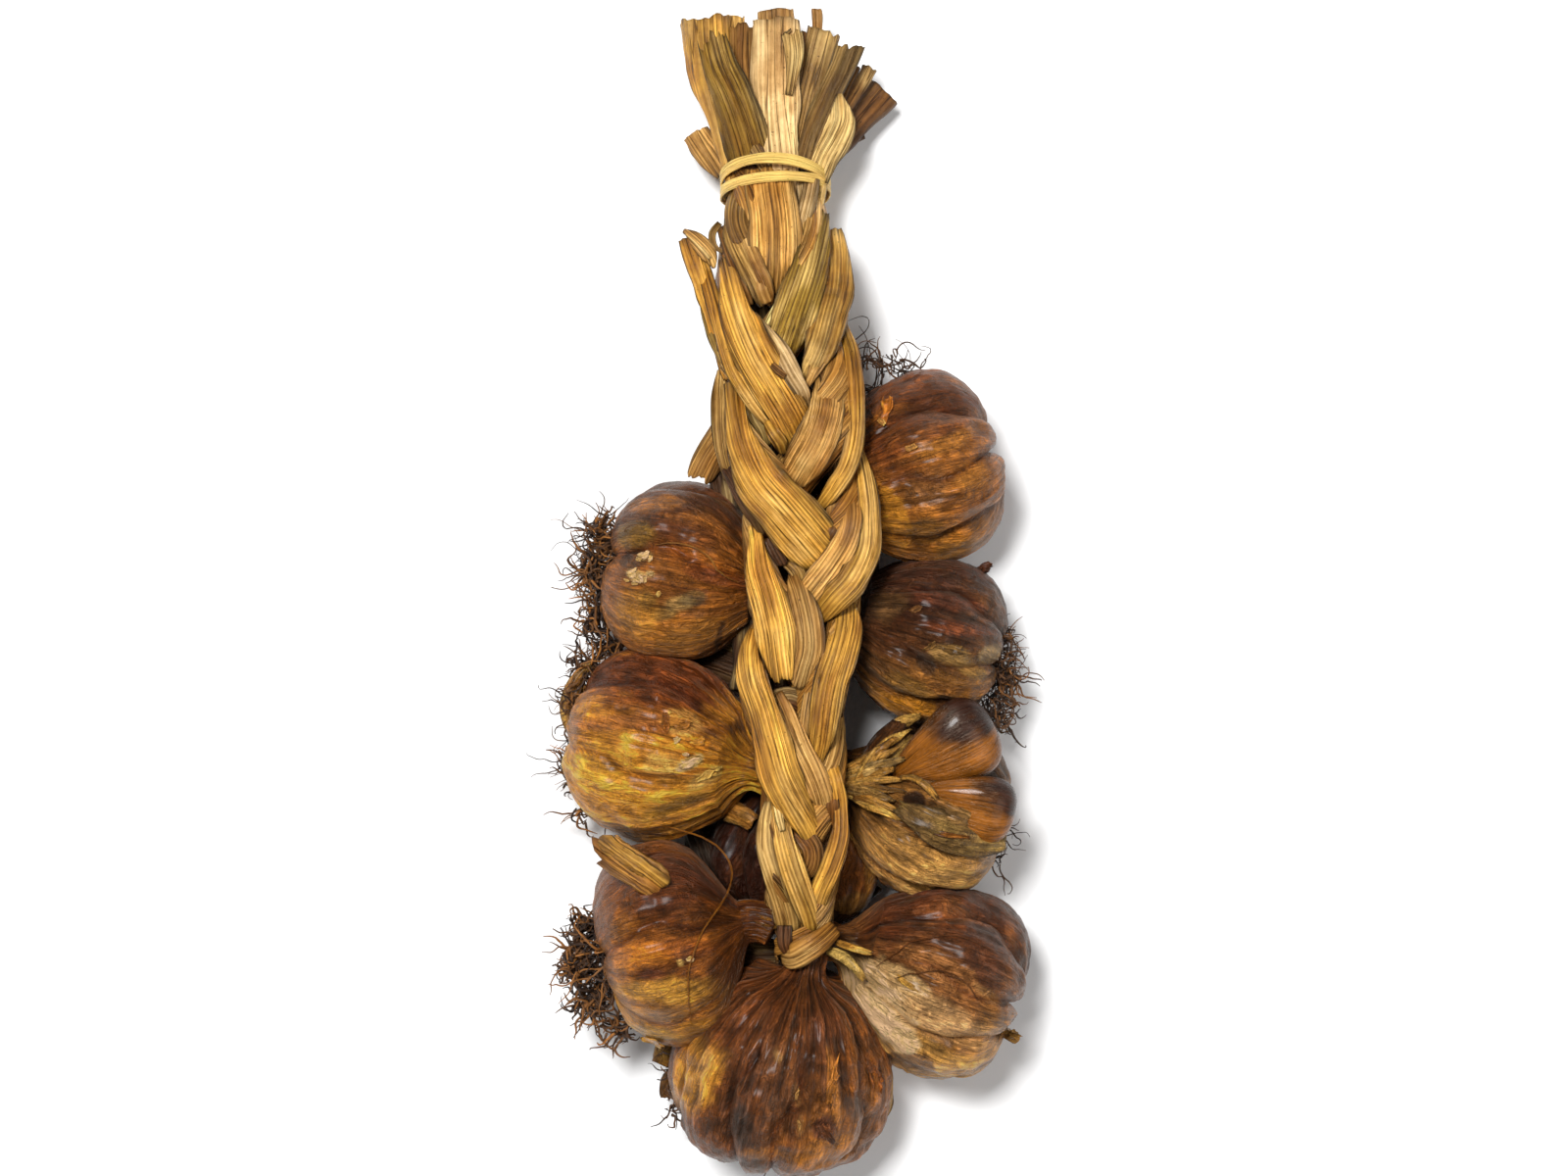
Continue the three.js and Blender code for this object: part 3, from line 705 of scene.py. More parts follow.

# Near-black leaves deep between the plait and the bulbs, a dark sheet of painted shade that fills the gaps
# there: path as x, y, z, and widths.
SHADE_FILL_LEAVES = {
    "a": [
        ([(-3, 118, 14), (-2.5, 85, 26), (1, 50, 36), (3, 0, 38), (3, -50, 38), (4.5, -100, 37)],
            [18, 20, 24, 20, 15, 9]),
    ],
    "b": [
        ([(-19, 40, 26), (-14, 15, 30), (-10, -10, 32), (-12, -30, 30)], [8, 12, 12, 8]),
        ([(-30, -19, 16), (-18, -22, 24), (-4, -28, 32)], [14, 16, 12]),
    ],
    "c": [
        ([(22, 20, 24), (20, -5, 26), (16, -22, 30)], [8, 12, 8]),
        ([(-26, -70, 12), (-14, -66, 20), (0, -62, 32)], [12, 18, 14]),
        ([(24, -82, 14), (16, -88, 22), (8, -96, 32)], [14, 16, 10]),
        ([(-25, -70, 12), (-21, -80, 15), (-16, -90, 16)], [9, 12, 10]),
        ([(-17, -103, 24), (-10, -107, 27), (-2, -107, 29)], [9, 13, 10]),
    ],
}

# For each strand, the leaves that show on top of it, with paths as x, y and rise above the plait's middle
# line.
TOP_LEAVES = {
    "a": [
        leaf([(-12.5, 113, 5), (-13.5, 108.5, 9), (-13.5, 104, 10), (-12, 99.5, 10), (-9, 95, 7)],
            [7, 8, 8, 7, 4], KHAKI, ragged=(0, 3)),
        leaf([(-16, 106, 6), (-14.5, 99, 9), (-11.5, 92, 9.5), (-8.5, 86, 8), (-6, 80, 3)],
            [4, 6, 6.5, 5, 2], KHAKI * 1.1, folds=0.9),
        leaf([(-13, 103, 8), (-11, 97, 10.5), (-8.5, 91, 10.5), (-6, 85.5, 8.5), (-4.5, 80, 3)],
            [2.5, 4.5, 5, 4, 1.5], TAN * 0.85, folds=0.9, twist=(20, -10)),
        leaf([(14, 103, 2), (15, 94.5, 7), (14.5, 85, 9.5), (12.5, 77, 10.5), (10, 68, 10.5), (7, 61, 9),
            (5, 57, 5)], [4, 6.5, 9.5, 11, 9.5, 5.5, 2], rgb(178, 134, 62), cross=0.3, spread=45),
        leaf([(17, 83.5, 4), (15.5, 75.5, 7), (12, 68, 9), (8.5, 61.5, 9.5), (6, 56.5, 8)],
            [3, 4.5, 5, 4, 1.5], TAN),
        leaf([(10.5, 108, 6), (9, 100, 10.5), (7, 91, 12.5), (4, 81.5, 13), (1.5, 74, 12), (-0.5, 68, 9),
            (-2, 63.5, 4)], [3.5, 8, 11, 13, 12, 9, 4], OLIVE * 1.15, ragged=(3, 0), spread=45),
        leaf([(3, 94, 8), (0.5, 85, 10), (-3, 78.5, 9.5), (-6, 73, 5)], [1.5, 2, 2.2, 1.5], PALE,
            folds=0.2),
        leaf([(-18.5, 61.5, 2), (-19, 54, 5), (-19, 45.5, 7), (-18, 37, 7), (-16, 30, 6)],
            [3, 4, 4, 3.5, 3], KHAKI),
        leaf([(-10.5, 54, 8), (-9, 48.5, 8.5), (-6.5, 44, 8), (-5, 40, 5)], [2, 3.5, 3, 1.5], OLIVE * 0.6),
        leaf([(-5.5, 46.5, 9), (-3.5, 43, 10.5), (-1.5, 40, 9.5), (-0.5, 37.5, 6)], [2, 4, 3.5, 1.5], GOLD,
            spread=90, depth=0.8),
        leaf([(-15, 57.5, 4), (-14, 48.5, 9), (-12, 39, 11.5), (-7.5, 29.5, 13), (-1, 22, 13.5),
            (5, 15, 12.5), (9.5, 10, 9), (12.5, 7, 5)], [5, 6, 9.5, 13.5, 16, 17, 14.5, 10.5], GOLD,
            depth=0.4),
        leaf([(-17.5, 34, 8), (-15, 29.5, 9.5), (-12.5, 24.5, 10), (-9, 19, 9), (-6.5, 14.5, 6)],
            [2.5, 4, 4, 3.5, 1.5], DARK, ragged=(2, 0)),
        leaf([(17, -4, 3), (17, -10.5, 7), (15, -19, 10), (12.5, -27, 11), (11, -35.5, 11), (10, -43, 10),
            (8.5, -50.5, 7)], [4.5, 9, 10, 9.5, 8.5, 6, 3], GOLD),
        leaf([(8, -26, 7), (6.5, -33, 9), (5.5, -40, 9), (5, -44, 7)], [3, 4, 3.5, 1.5], TAN),
        leaf([(19.5, -6, 4), (19, -14.5, 6.5), (17, -26, 8), (15, -37, 8)], [1.5, 2, 2, 1.5], TAN,
            folds=0.2),
        leaf([(-5, -61, 4), (-6, -66.5, 6), (-6, -73.5, 7), (-4, -80.5, 7.5), (-1.5, -87.5, 7),
            (0.5, -94.5, 6), (1, -100, 4)], [2, 4, 5, 6, 7.5, 7.5, 5], KHAKI, twist=(15, -10)),
        leaf([(-3.5, -60, 5), (-2, -65.5, 8), (-0.5, -72, 10), (1.5, -79, 10.5), (4, -86, 10),
            (6.5, -93, 8), (7.5, -97.5, 6)], [2, 4, 6, 7.5, 7.5, 5.5, 3.5], GOLD),
        leaf([(-3, -61, 9), (-2, -65, 10.8), (-1, -69, 10.8)], [1.5, 2.2, 1.5], PALE * 1.1, folds=0.2),
    ],
    "b": [
        leaf([(-18, 103.5, 4), (-16, 97, 7), (-13.5, 90.5, 8), (-12, 85, 6), (-10, 80, 2)],
            [4, 4.5, 4.5, 3.5, 1.5], BROWN),
        leaf([(-7, 88.5, 9), (-6.5, 84.5, 8), (-5, 80.5, 5)], [3, 4, 3], TAN, spread=90, depth=0.8),
        leaf([(-5, 120.5, 10), (-4.5, 114, 11.5), (-3.5, 107, 12.5), (-3, 100, 12.5), (-3, 94, 11),
            (-3, 89, 8), (-3.5, 83.5, 3)], [12.5, 13.5, 14.5, 15.5, 12.5, 6.5, 2], WARM_TAN, depth=0.35),
        leaf([(-24, 85, 2), (-22, 76.5, 4), (-19.5, 69, 6), (-17, 62.5, 7), (-14.5, 57.5, 6)],
            [2, 4, 4, 3, 1.5], OLIVE * 0.8),
        leaf([(-18, 94, 5), (-15.5, 83.5, 11.5), (-12.5, 73.5, 13), (-8.5, 64.5, 13), (-3.5, 56, 12),
            (1, 48.5, 11), (4, 42.5, 8), (5.5, 39, 4)], [3.5, 7.5, 11, 12.5, 12.5, 12, 9.5, 5], GOLD,
            spread=50),
        leaf([(-25, 94, 7), (-23.5, 90.5, 8), (-20.5, 80.5, 9.5), (-18, 71, 11), (-15, 61, 11.5),
            (-10.5, 53, 11.5), (-5, 45.5, 9)], [2, 4, 4.5, 4.5, 4, 3.5, 2], GOLD * 0.85, folds=0.3),
        leaf([(-9.5, 77.5, 7), (-5.5, 72, 11), (-1.5, 66, 12.5), (2, 59.5, 12.5), (5, 54.5, 11),
            (6, 50.5, 7)], [2, 4, 5.5, 5, 4, 1.5], GREY),
        leaf([(-4, 62.5, 12), (-2, 60.5, 13.8), (0, 59, 12.5)], [1.2, 2, 1], BROWN, ragged=(1, 1),
            spread=60),
        leaf([(13.5, 29, 4), (14, 22, 7), (12.5, 15, 8), (9.5, 9, 6)], [4, 5.5, 5, 3], BROWN),
        leaf([(17.5, 29, 3), (18.5, 20.5, 8), (17, 13, 10), (12.5, 5.5, 11), (7.5, -1, 10), (4, -5.5, 6)],
            [4, 5.5, 7, 8.5, 8.5, 5], TAN),
        # Darker copy of GOLD: painted shade for the right side of the plait, away from the key light.
        leaf([(20.5, 40, 2), (22.5, 30, 7), (23.5, 20.5, 9), (23, 10.5, 10.5), (19, 2, 11.5),
            (13.5, -4, 11), (9, -9.5, 7)], [2, 5, 6, 7, 8.5, 8, 4], GOLD * 0.76),
        leaf([(-3.5, -34.5, 5), (1, -33, 7.5), (6, -36, 5)], [9.5, 10, 9.5], DARK, folds=0.9, spread=40),
        leaf([(-2, -30, 7), (1, -37, 9.5), (4, -45, 10.5), (7.5, -52.5, 10.5), (10, -59.5, 9),
            (11, -65, 6)], [2, 5, 6.5, 8, 6.5, 4], TAN * 1.05),
        leaf([(3.5, -68.5, 7), (7.5, -74, 8), (7.5, -79, 7), (5.5, -82.5, 5)], [4.5, 6, 5, 2], BROWN),
        leaf([(-9.5, -12, 5), (-10.5, -18.5, 8.5), (-9.5, -26.5, 11), (-6.5, -35.5, 12.5), (-4, -45, 13),
            (-1.5, -54, 12.5), (2.5, -62, 11), (6.5, -69, 8), (8.5, -74, 4)],
            [1.5, 5.5, 9, 9.5, 11, 12, 10, 6.5, 4], GOLD * 1.35),
    ],
    "c": [
        leaf([(7.5, 117, 9), (6.5, 111.5, 10), (5, 105.5, 10), (3.5, 99, 8)], [4, 4.5, 4, 3], GREY),
        leaf([(12.5, 64, 3), (12, 56, 8.5), (11, 48.5, 11.5), (8.5, 41, 12), (4.5, 34, 10), (1.5, 29, 5)],
            [6, 9, 11, 12.5, 12, 7], TAN * 0.95, cross=0.4, spread=45),
        leaf([(10.5, 63.5, 6), (12.5, 57.5, 8.5), (12.5, 51, 8)], [3.5, 5, 3], DARK, ragged=(0, 3)),
        # Darker copy of GOLD: painted shade for the right side of the plait, away from the key light.
        leaf([(15.5, 75, 3), (18.5, 66.5, 7), (19.5, 55.5, 9), (19.5, 44, 10), (17.5, 34.5, 10.5),
            (13.5, 27.5, 10), (9.5, 22, 6)], [3, 4.5, 5, 5, 5.5, 5.5, 3], GOLD * 0.78),
        leaf([(-0.5, 8, 7), (3, 4.5, 8), (4.5, 0.5, 7)], [3, 4.5, 3], KHAKI),
        leaf([(-5, 14, 8), (-3, 10, 8.5), (-0.5, 5.5, 8)], [3, 4, 3], DARK, ragged=(2, 2)),
        leaf([(1.5, 3.5, 7), (3.5, -2, 10), (5.5, -10.5, 11.5), (6, -17.5, 11.5), (4.5, -23.5, 10.5),
            (3, -29, 9)], [2, 6, 9.5, 9, 6.5, 4.5], TAN, ragged=(0, 3)),
        leaf([(-9.5, 17.5, 5), (-8.5, 13, 8), (-7.5, 5, 11), (-5, -3.5, 13), (-3, -12, 13.5),
            (-2, -19.5, 12.5), (-1, -27.5, 11)], [3, 4.5, 8, 10.5, 12, 9.5, 5.5], GOLD * 1.35,
            ragged=(0, 3)),
        leaf([(11, -54, 5), (13, -61, 7), (13, -68, 7)], [3, 3.5, 2], BROWN),
        leaf([(11.5, -47.5, 4), (14, -54, 7), (15.5, -62, 9), (15.5, -70.5, 10), (13, -79, 10),
            (10, -86, 9), (8, -92.5, 6)], [3, 4, 4, 5, 6.5, 6.5, 3.5], GOLD, twist=(-20, 10)),
    ],
}


TORN_BACK = 14  # how far an under-leaf that ends below the cut is torn
ABOVE_STRANDS = 2.2  # the least rise of a top leaf over the strands


def strands_top(x, y):
    """How high the three strands reach above the plait's middle line at a place, or less than nothing."""
    best = -99.0
    for lead in STRAND_LEADS.values():
        middle, across, out, a, b = strand_section(np.asarray(float(y)), lead)
        reach = CORE_SIZE * np.hypot(a * across, b * out)
        aside = (x - middle[0]) / reach[0]
        if abs(aside) < 1:
            best = max(best, middle[2] + reach[2] * np.sqrt(1 - aside**2) - plait_at(y)[1])
    return best


def top_leaf(path, width, tint, features, seed):
    """A leaf on top of the plait, kept clear of the strands except at its tucked ends."""
    clear = [(x, y, max(rise, strands_top(x, y) + ABOVE_STRANDS)) for x, y, rise in path[1:-1]]
    path = [(x, y, plait_at(y)[1] + rise) for x, y, rise in [path[0], *clear, path[-1]]]
    return ribbon(path, width, tint, seed, **features)


for index, (letter, lead) in enumerate(STRAND_LEADS.items()):
    patches = [strand_core(lead, index)]
    for k, entry in enumerate(UNDER_LEAVES[letter]):
        torn = [0, 0 if entry[0] == CUT_Y else TORN_BACK]
        patches.append(strand_leaf(lead, KNOT_Y, *entry, seed=10 * index + k + 1, ragged=torn))
    for k, entry in enumerate(SHADE_FILL_LEAVES[letter]):
        # Painted shade: these leaves are near black to stand for the shade deep in the gaps.
        patches.append(ribbon(*entry, DARK * 0.55, 170 + 5 * index + k, folds=1.2, depth=0.3))
    for k, entry in enumerate(TOP_LEAVES[letter]):
        patches.append(top_leaf(*entry, seed=200 + 20 * index + k))
    add_piece(f"plaited_leaves_{letter}", patches, "dry_leaf", LEAF, f"strand_{letter}")

# ---- Stalks above the tie ----

# One leaf for each stalk.
STALKS = [
    leaf([(-13, 113, 25), (-16, 127, 24), (-20.5, 143, 22), (-22.5, 154, 21), (-23.5, 165.5, 20)],
        [5.5, 8, 11, 13, 15], GOLD * 0.95, spread=105, depth=0.6, ragged=(0, 4), open_end=0.4),
    leaf([(-7, 113, 26), (-9.5, 122, 27), (-12, 131, 28.5), (-15.5, 141, 29), (-19.5, 150, 28.5),
        (-22, 161, 27.5)], [9, 12.5, 13.5, 11.5, 9.5, 8], rgb(142, 106, 34), ragged=(0, 7), spread=45),
    leaf([(-9, 128, 24), (-10.5, 138, 23), (-12.5, 150, 21), (-12.5, 163.5, 18)], [3, 6, 7.5, 7.5],
        rgb(150, 108, 50), ragged=(0, 3), spread=70),
    leaf([(-0.5, 110, 29), (-1.5, 123, 29), (-2.5, 138, 27.5), (-2.5, 152, 26), (-2.5, 164, 25)],
        [9, 10, 12.5, 13.5, 13.5], rgb(232, 194, 134), spread=110, depth=0.5, ragged=(0, 3)),
    leaf([(3.5, 140, 19), (5, 152, 17.5), (5, 161, 16.5)], [1.5, 2.5, 2.5], BROWN * 0.7, ragged=(0, 2)),
    leaf([(3, 124, 24), (4.5, 133, 23), (6.5, 143, 22), (9, 152, 21), (11.5, 161.5, 20.5)],
        [3, 4, 6, 7.5, 9], KHAKI, spread=130, depth=0.6, ragged=(0, 4)),
    leaf([(5, 121, 27), (8, 131, 27), (12, 140.5, 26), (16, 149, 25), (19, 157, 24.5)], [4.5, 6, 6.5, 7, 8],
        rgb(124, 94, 46), ragged=(0, 5), spread=60),
    leaf([(4, 116, 18.5), (11, 128, 19.5), (18, 139.5, 18), (22, 146, 16.5), (24.5, 151, 15.5)],
        [3, 3, 3.5, 4, 4], BROWN * 0.6, ragged=(0, 3), spread=90),
    leaf([(10, 122, 18), (16.5, 129.5, 16), (21.5, 136, 14), (25.5, 140.5, 12.5), (29, 144.5, 11.5)],
        [4, 6.5, 8, 9.5, 10], BROWN * 0.55, spread=120, depth=0.7, ragged=(0, 2)),
    leaf([(8.5, 117, 26), (11, 123.5, 27), (14, 129, 27), (16, 134.5, 27), (15.5, 141.5, 27)],
        [6, 8, 9.5, 8, 1.5], PALE * 0.95, spread=50, depth=0.6),
    leaf([(-18.5, 119, 19), (-22, 124.5, 16), (-24.5, 128.5, 13.5), (-27, 132.5, 11.5)], [4, 7, 8, 7.5],
        TAN * 0.9, ragged=(0, 2), spread=80),
    leaf([(-6, 114, 12), (-8, 128, 11), (-11, 144, 8), (-13, 157, 5.5)], [7, 8, 9, 10], TAN * 0.8,
        ragged=(0, 4)),
    leaf([(2, 114, 11), (4, 128, 9), (6, 142, 6), (8, 153, 3)], [7, 8, 9, 10], BROWN * 0.8, ragged=(0, 4)),
]

# Smaller ends that show between the stalks, each in the piece of the stalk of that number.
BETWEEN_STALKS = {
    1: [
        leaf([(-17, 150, 16), (-15, 158, 15), (-14.5, 166, 14)], [4, 5, 5], GOLD, ragged=(0, 2), spread=90),
    ],
    4: [
        leaf([(1, 141, 27.5), (2.5, 152, 27.5), (1.5, 160, 26.5)], [2, 5, 6], PALE * 0.8, ragged=(0, 4)),
        leaf([(-2, 150, 19), (-2.5, 160, 19), (-3, 167, 18.5)], [9, 10, 9.5], TAN, ragged=(0, 2),
            spread=100),
    ],
    6: [
        leaf([(8.5, 154, 19), (9, 161, 19), (8.8, 167, 19)], [2, 2, 2.4], AMBER, ragged=(0, 1), spread=110),
    ],
    8: [
        leaf([(6, 118, 21), (13, 136, 20), (16, 144, 19), (19.5, 151.5, 18)], [3, 4, 5, 5], BROWN * 0.7,
            ragged=(0, 4)),
    ],
    9: [
        leaf([(15, 124, 15), (19, 129, 13), (22.5, 131, 12)], [1.6, 2, 2], DARK * 0.7, spread=120),
    ],
    10: [
        leaf([(5, 118, 28), (5.5, 112, 28.5), (6, 105, 29)], [4.5, 4.5, 3.5], GREY, ragged=(1, 1)),
        leaf([(10, 116, 26.5), (9, 111, 27.5), (8.5, 106, 28)], [3, 4, 2], PALE, ragged=(1, 2)),
    ],
}

for index, stalk in enumerate(STALKS):
    number = index + 1
    patches = ribbons([stalk, *BETWEEN_STALKS.get(number, [])], 40 + 7 * index, thickness=0.45)
    add_piece(f"cut_leaf_{number:02d}", patches, "cut_stalk", STALK, f"stalk_{number:02d}")

# ---- Raffia tie and the leaf round the foot ----

TIE_WIDTH = 3.1
TIE_Y = 116
TIE_REACH = (15, 11.9)  # from the middle of the bundle to the raffia, in x and z
RAFFIA_TINT = rgb(250, 206, 114) * 1.1


def turn_of_raffia(height, seed):
    """One turn of raffia round the bundle. height(angle) is its middle line's Y."""
    x, z = plait_at(TIE_Y)[:2]
    rows, cols = 9, 120
    angle = ring_angles(rows, cols)
    share = np.linspace(-0.5, 0.5, rows)[:, None] * np.ones(cols)
    thick = 0.7 + 0.16 * fbm(share * 6, np.cos(angle), np.sin(angle), seed)
    reach = thick + 0.35 * fbm(np.cos(angle) * 2, np.sin(angle) * 2, share, seed + 1)
    p = np.stack([
        x + (TIE_REACH[0] + reach) * np.cos(angle),
        height(angle) - share * TIE_WIDTH * (1 + 0.15 * noise(np.cos(angle) * 2, np.sin(angle) * 2, 0, seed)),
        z + (TIE_REACH[1] + reach) * np.sin(angle),
    ], axis=-1)
    grain = grain_at(share * TIE_WIDTH, angle * 14, seed)
    streak = 1 + 0.12 * fbm(share * 5, angle * 2, seed, seed)
    return sheet_patch(p, 0.55, grain, RAFFIA_TINT * streak[..., None], wrap=True)


tie = [
    turn_of_raffia(lambda a: TIE_Y + 6.5 * np.sin(a) - 0.8 * np.cos(a), 3),
    turn_of_raffia(lambda a: 113.9 + 3.4 * np.sin(a) + 0.8 * np.cos(a), 8),
]
add_piece("raffia_turns", tie, "raffia", RAFFIA, "raffia_tie")

knot_x, knot_z = plait_at(-98)[:2]
angles = np.radians(np.linspace(-200, 200, 14))
wrap_path = np.stack([
    knot_x + 8 * np.cos(angles),
    -99.5 + 4 * np.cos(angles) + 1.2 * angles / np.pi,
    knot_z + (6.8 + 0.4 * angles / np.pi) * np.sin(angles),
], axis=-1)
WRAP_HALF_WIDTH = 2.6
WRAP_LENGTH = 70


def foot_wrap():
    """A strip of leaf wound aslant round the foot of the plait."""
    t, x = sheet_grid(110, 14)
    u, v = x * WRAP_HALF_WIDTH, t * WRAP_LENGTH
    centre = through(wrap_path, t)
    outwards = unit((centre - vec(knot_x, 0, knot_z)) * vec(1, 0, 1))
    rise = 0.5 * fbm(x * 2, t * 5, 0, 91) - 0.5 * np.abs(x) ** 3
    p = centre + vec(0, 1, 0) * u[..., None] + outwards * rise[..., None]
    return sheet_patch(p, 0.4, grain_at(u, v, 9), leaf_tint(AMBER, u, v, x, t, 91))


wraps = [
    foot_wrap(),
    top_leaf([(-0.5, -96, 7), (-0.5, -101, 8), (0.5, -104, 7)], [4, 4.5, 3.5], DARK, {}, 94),
    top_leaf([(14, -96.5, 5), (10.5, -99.5, 9.5), (6, -102.5, 11), (1.5, -105, 9.5), (-1, -105, 5)],
             [5, 6.5, 7.5, 7, 4.5], AMBER * 0.95, dict(spread=70), 93),
]
add_piece("wound_leaf", wraps, "dry_leaf", LEAF, "foot_wrap")

# ---- Loose leaf ends ----

folded = [
    ribbon([(-28.5, 99.5, 40), (-25.5, 90, 42), (-22, 80, 44), (-18.5, 68, 48), (-16, 58, 50)],
           [4, 5, 4.5, 4, 3], GOLD, 71, spread=75, ragged=(2, 3)),
    ribbon([(-29, 101, 40), (-25.5, 98, 42.5), (-22, 94, 43), (-20.5, 90.5, 41)], [1.5, 5, 5, 1], TAN, 72,
           twist=(50, 20)),
    ribbon([(-28.5, 100.5, 41), (-25, 97, 43), (-21.5, 93, 43.5)], [0.8, 1, 0.8], PALE * 1.15, 76, folds=0.1),
    ribbon([(-19, 104, 30), (-21, 101, 31), (-20.5, 97.5, 31.5), (-18, 95.5, 32)], [1, 1.6, 1.4, 0.8],
           KHAKI, 77),
]
add_piece("folded_leaf_end", folded, "dry_leaf", LEAF, "folded_leaf")
side = [
    ribbon([(-14, 50, 36), (-18.5, 42, 33), (-22.5, 35.5, 30), (-25.5, 29.5, 28)], [9, 10, 9, 7],
           TAN * 0.9, 73, ragged=(0, 4)),
]
add_piece("side_leaf_end", side, "dry_leaf", LEAF, "side_leaf")
stub = [
    ribbon([(-33, -86, 61.3), (-38, -82, 63.8), (-46, -76.5, 63), (-55.5, -70, 57.3)], [5, 8, 8.5, 9.5],
           AMBER * 0.8, 74, spread=120, ragged=(5, 9), folds=1.5, cross=0.5),
    ribbon([(-33.5, -85, 61.8), (-39, -80.5, 64.4), (-47, -75, 62.6), (-54, -70, 57.3)], [2, 4, 4.5, 4],
           GOLD * 0.8, 75, spread=80, ragged=(4, 8), folds=1.4, cross=0.5),
]
add_piece("cut_stem", stub, "dry_leaf", LEAF, "stem_stub")

# ---- Bulbs ----

# Shares of the body's height above the root plate and of its radius, from the middle of the root plate up.
BODY_PROFILE = [
    (0.07, 0.012), (0.04, 0.16), (0.0, 0.34), (0.012, 0.53), (0.06, 0.72), (0.16, 0.89), (0.3, 0.985),
    (0.45, 1.0), (0.6, 0.97), (0.74, 0.88), (0.87, 0.74), (1.0, 0.55),
]

# grooves are in degrees round the axis, and depth says how deep they are. A dent is its direction, its depth
# and the cosine of the angle at its edge. tints are those of the side that lean points to, of the middle and
# of the far side.
BULBS = {
    "bulb_bottom": dict(
        middle=(-1.2, -138, 30.2), axis=(0.2, 0.9, 0.36), radius=30.5, height=52, neck=(6.5, -104, 41),
        neck_radius=4.6, grooves=(20, 68, 97, 148, 205, 262, 325), depth=0.1, wrinkles=1.7,
        tints=(rgb(100, 55, 26), rgb(92, 52, 26), rgb(130, 80, 32)), lean=(-0.8, 0.6),
    ),
    "bulb_right_1": dict(
        middle=(38, 33.5, 25.8), axis=(-0.94, -0.26, 0.12), radius=26, height=43, neck=(8, 20, 38),
        neck_radius=4.6, grooves=(38, 82, 128, 200, 262, 320), depth=0.12, wrinkles=1.0,
        tints=(rgb(104, 56, 24), rgb(136, 84, 36), rgb(134, 84, 28)), lean=(-0.2, 1),
    ),
    "bulb_right_2": dict(
        middle=(40, -15, 23.3), axis=(-0.95, 0.28, 0.12), radius=23.5, height=41, neck=(9, -6, 37),
        neck_radius=4.4, grooves=(40, 76, 128, 182, 240, 310), depth=0.1, wrinkles=1.0,
        tints=(rgb(62, 31, 19), rgb(78, 46, 26), rgb(138, 94, 46)),
    ),
    "bulb_right_3": dict(
        middle=(42, -63.5, 25.3), axis=(-0.93, 0.33, 0.1), radius=25.5, height=40, neck=(9, -52, 38),
        neck_radius=5.6, grooves=(25, 70, 165, 225, 300), depth=0.12, wrinkles=1.5,
        tints=(rgb(92, 58, 28), rgb(140, 98, 56), rgb(178, 134, 84)),
        dents=[((0.15, 0.85, 0.5), 0.42, 0.55)],
    ),
    "bulb_right_4": dict(
        middle=(42.8, -112.8, 27.3), axis=(-0.92, 0.36, 0.12), radius=27.5, height=45, neck=(11, -101, 38),
        neck_radius=4.6, grooves=(15, 60, 96, 140, 190, 250, 310), depth=0.11, wrinkles=1.2,
        tints=(rgb(74, 38, 20), rgb(124, 80, 48), rgb(184, 138, 80)), lean=(0.35, 1),
    ),
    "bulb_left_1": dict(
        middle=(-28.8, 3.2, 25.8), axis=(0.97, -0.18, 0.14), radius=26, height=42, neck=(-2, -4, 37),
        neck_radius=4.6, grooves=(12, 78, 182, 240, 305), depth=0.11, wrinkles=0.7,
        tints=(rgb(78, 42, 19), rgb(138, 84, 36), rgb(152, 96, 34)), lean=(0.1, 1), closed=0.25,
    ),
    "bulb_left_2": dict(
        middle=(-36.6, -46, 26.3), axis=(0.93, -0.2, 0.3), radius=26.5, height=47, neck=(-3, -54, 41),
        neck_radius=4.8, grooves=(48, 106, 172, 238, 305), depth=0.06, wrinkles=1.3,
        tints=(rgb(106, 54, 20), rgb(194, 130, 48), rgb(184, 126, 46)), lean=(0.1, 1),
    ),
    "bulb_left_3": dict(
        middle=(-31.5, -101, 37), axis=(0.96, 0.25, 0.05), radius=28.5, height=40, neck=(-3, -97.5, 39),
        neck_radius=5.6, grooves=(20, 78, 140, 200, 260, 320), depth=0.05, wrinkles=0.7,
        tints=(rgb(86, 44, 24), rgb(128, 74, 26), rgb(164, 112, 40)), lean=(0.25, 1), closed=0.7,
    ),
    "bulb_back_top": dict(
        middle=(9, 42, 17.8), axis=(-0.6, -0.74, 0.3), radius=19, height=33, neck=(-3, 20, 31),
        neck_radius=4, grooves=(0, 70, 140, 215, 290), depth=0.08, wrinkles=1.0,
        tints=(rgb(80, 44, 22), rgb(110, 68, 34), rgb(120, 80, 40)),
    ),
    "bulb_back_middle": dict(
        middle=(2, -77, 17), axis=(0.1, 0.97, 0.2), radius=23.5, height=37, neck=(3, -48, 33), flat=0.8,
        neck_radius=4.2, grooves=(0, 48, 92, 130, 190, 250, 310), depth=0.2, wrinkles=0.8,
        tints=(rgb(44, 16, 8), rgb(52, 21, 9), rgb(100, 58, 22)), lean=(-1, 0.3),
    ),
    "bulb_back_left": dict(
        middle=(-43.5, -88.5, 11.9), axis=(0.95, -0.2, -0.05), radius=12.5, height=20, neck=(-22, -92, 8),
        flat=0.95, neck_radius=3.4, grooves=(0, 120, 240), depth=0.06, wrinkles=1.0,
        tints=(rgb(110, 84, 40), rgb(120, 84, 40), rgb(110, 70, 34)),
    ),
}
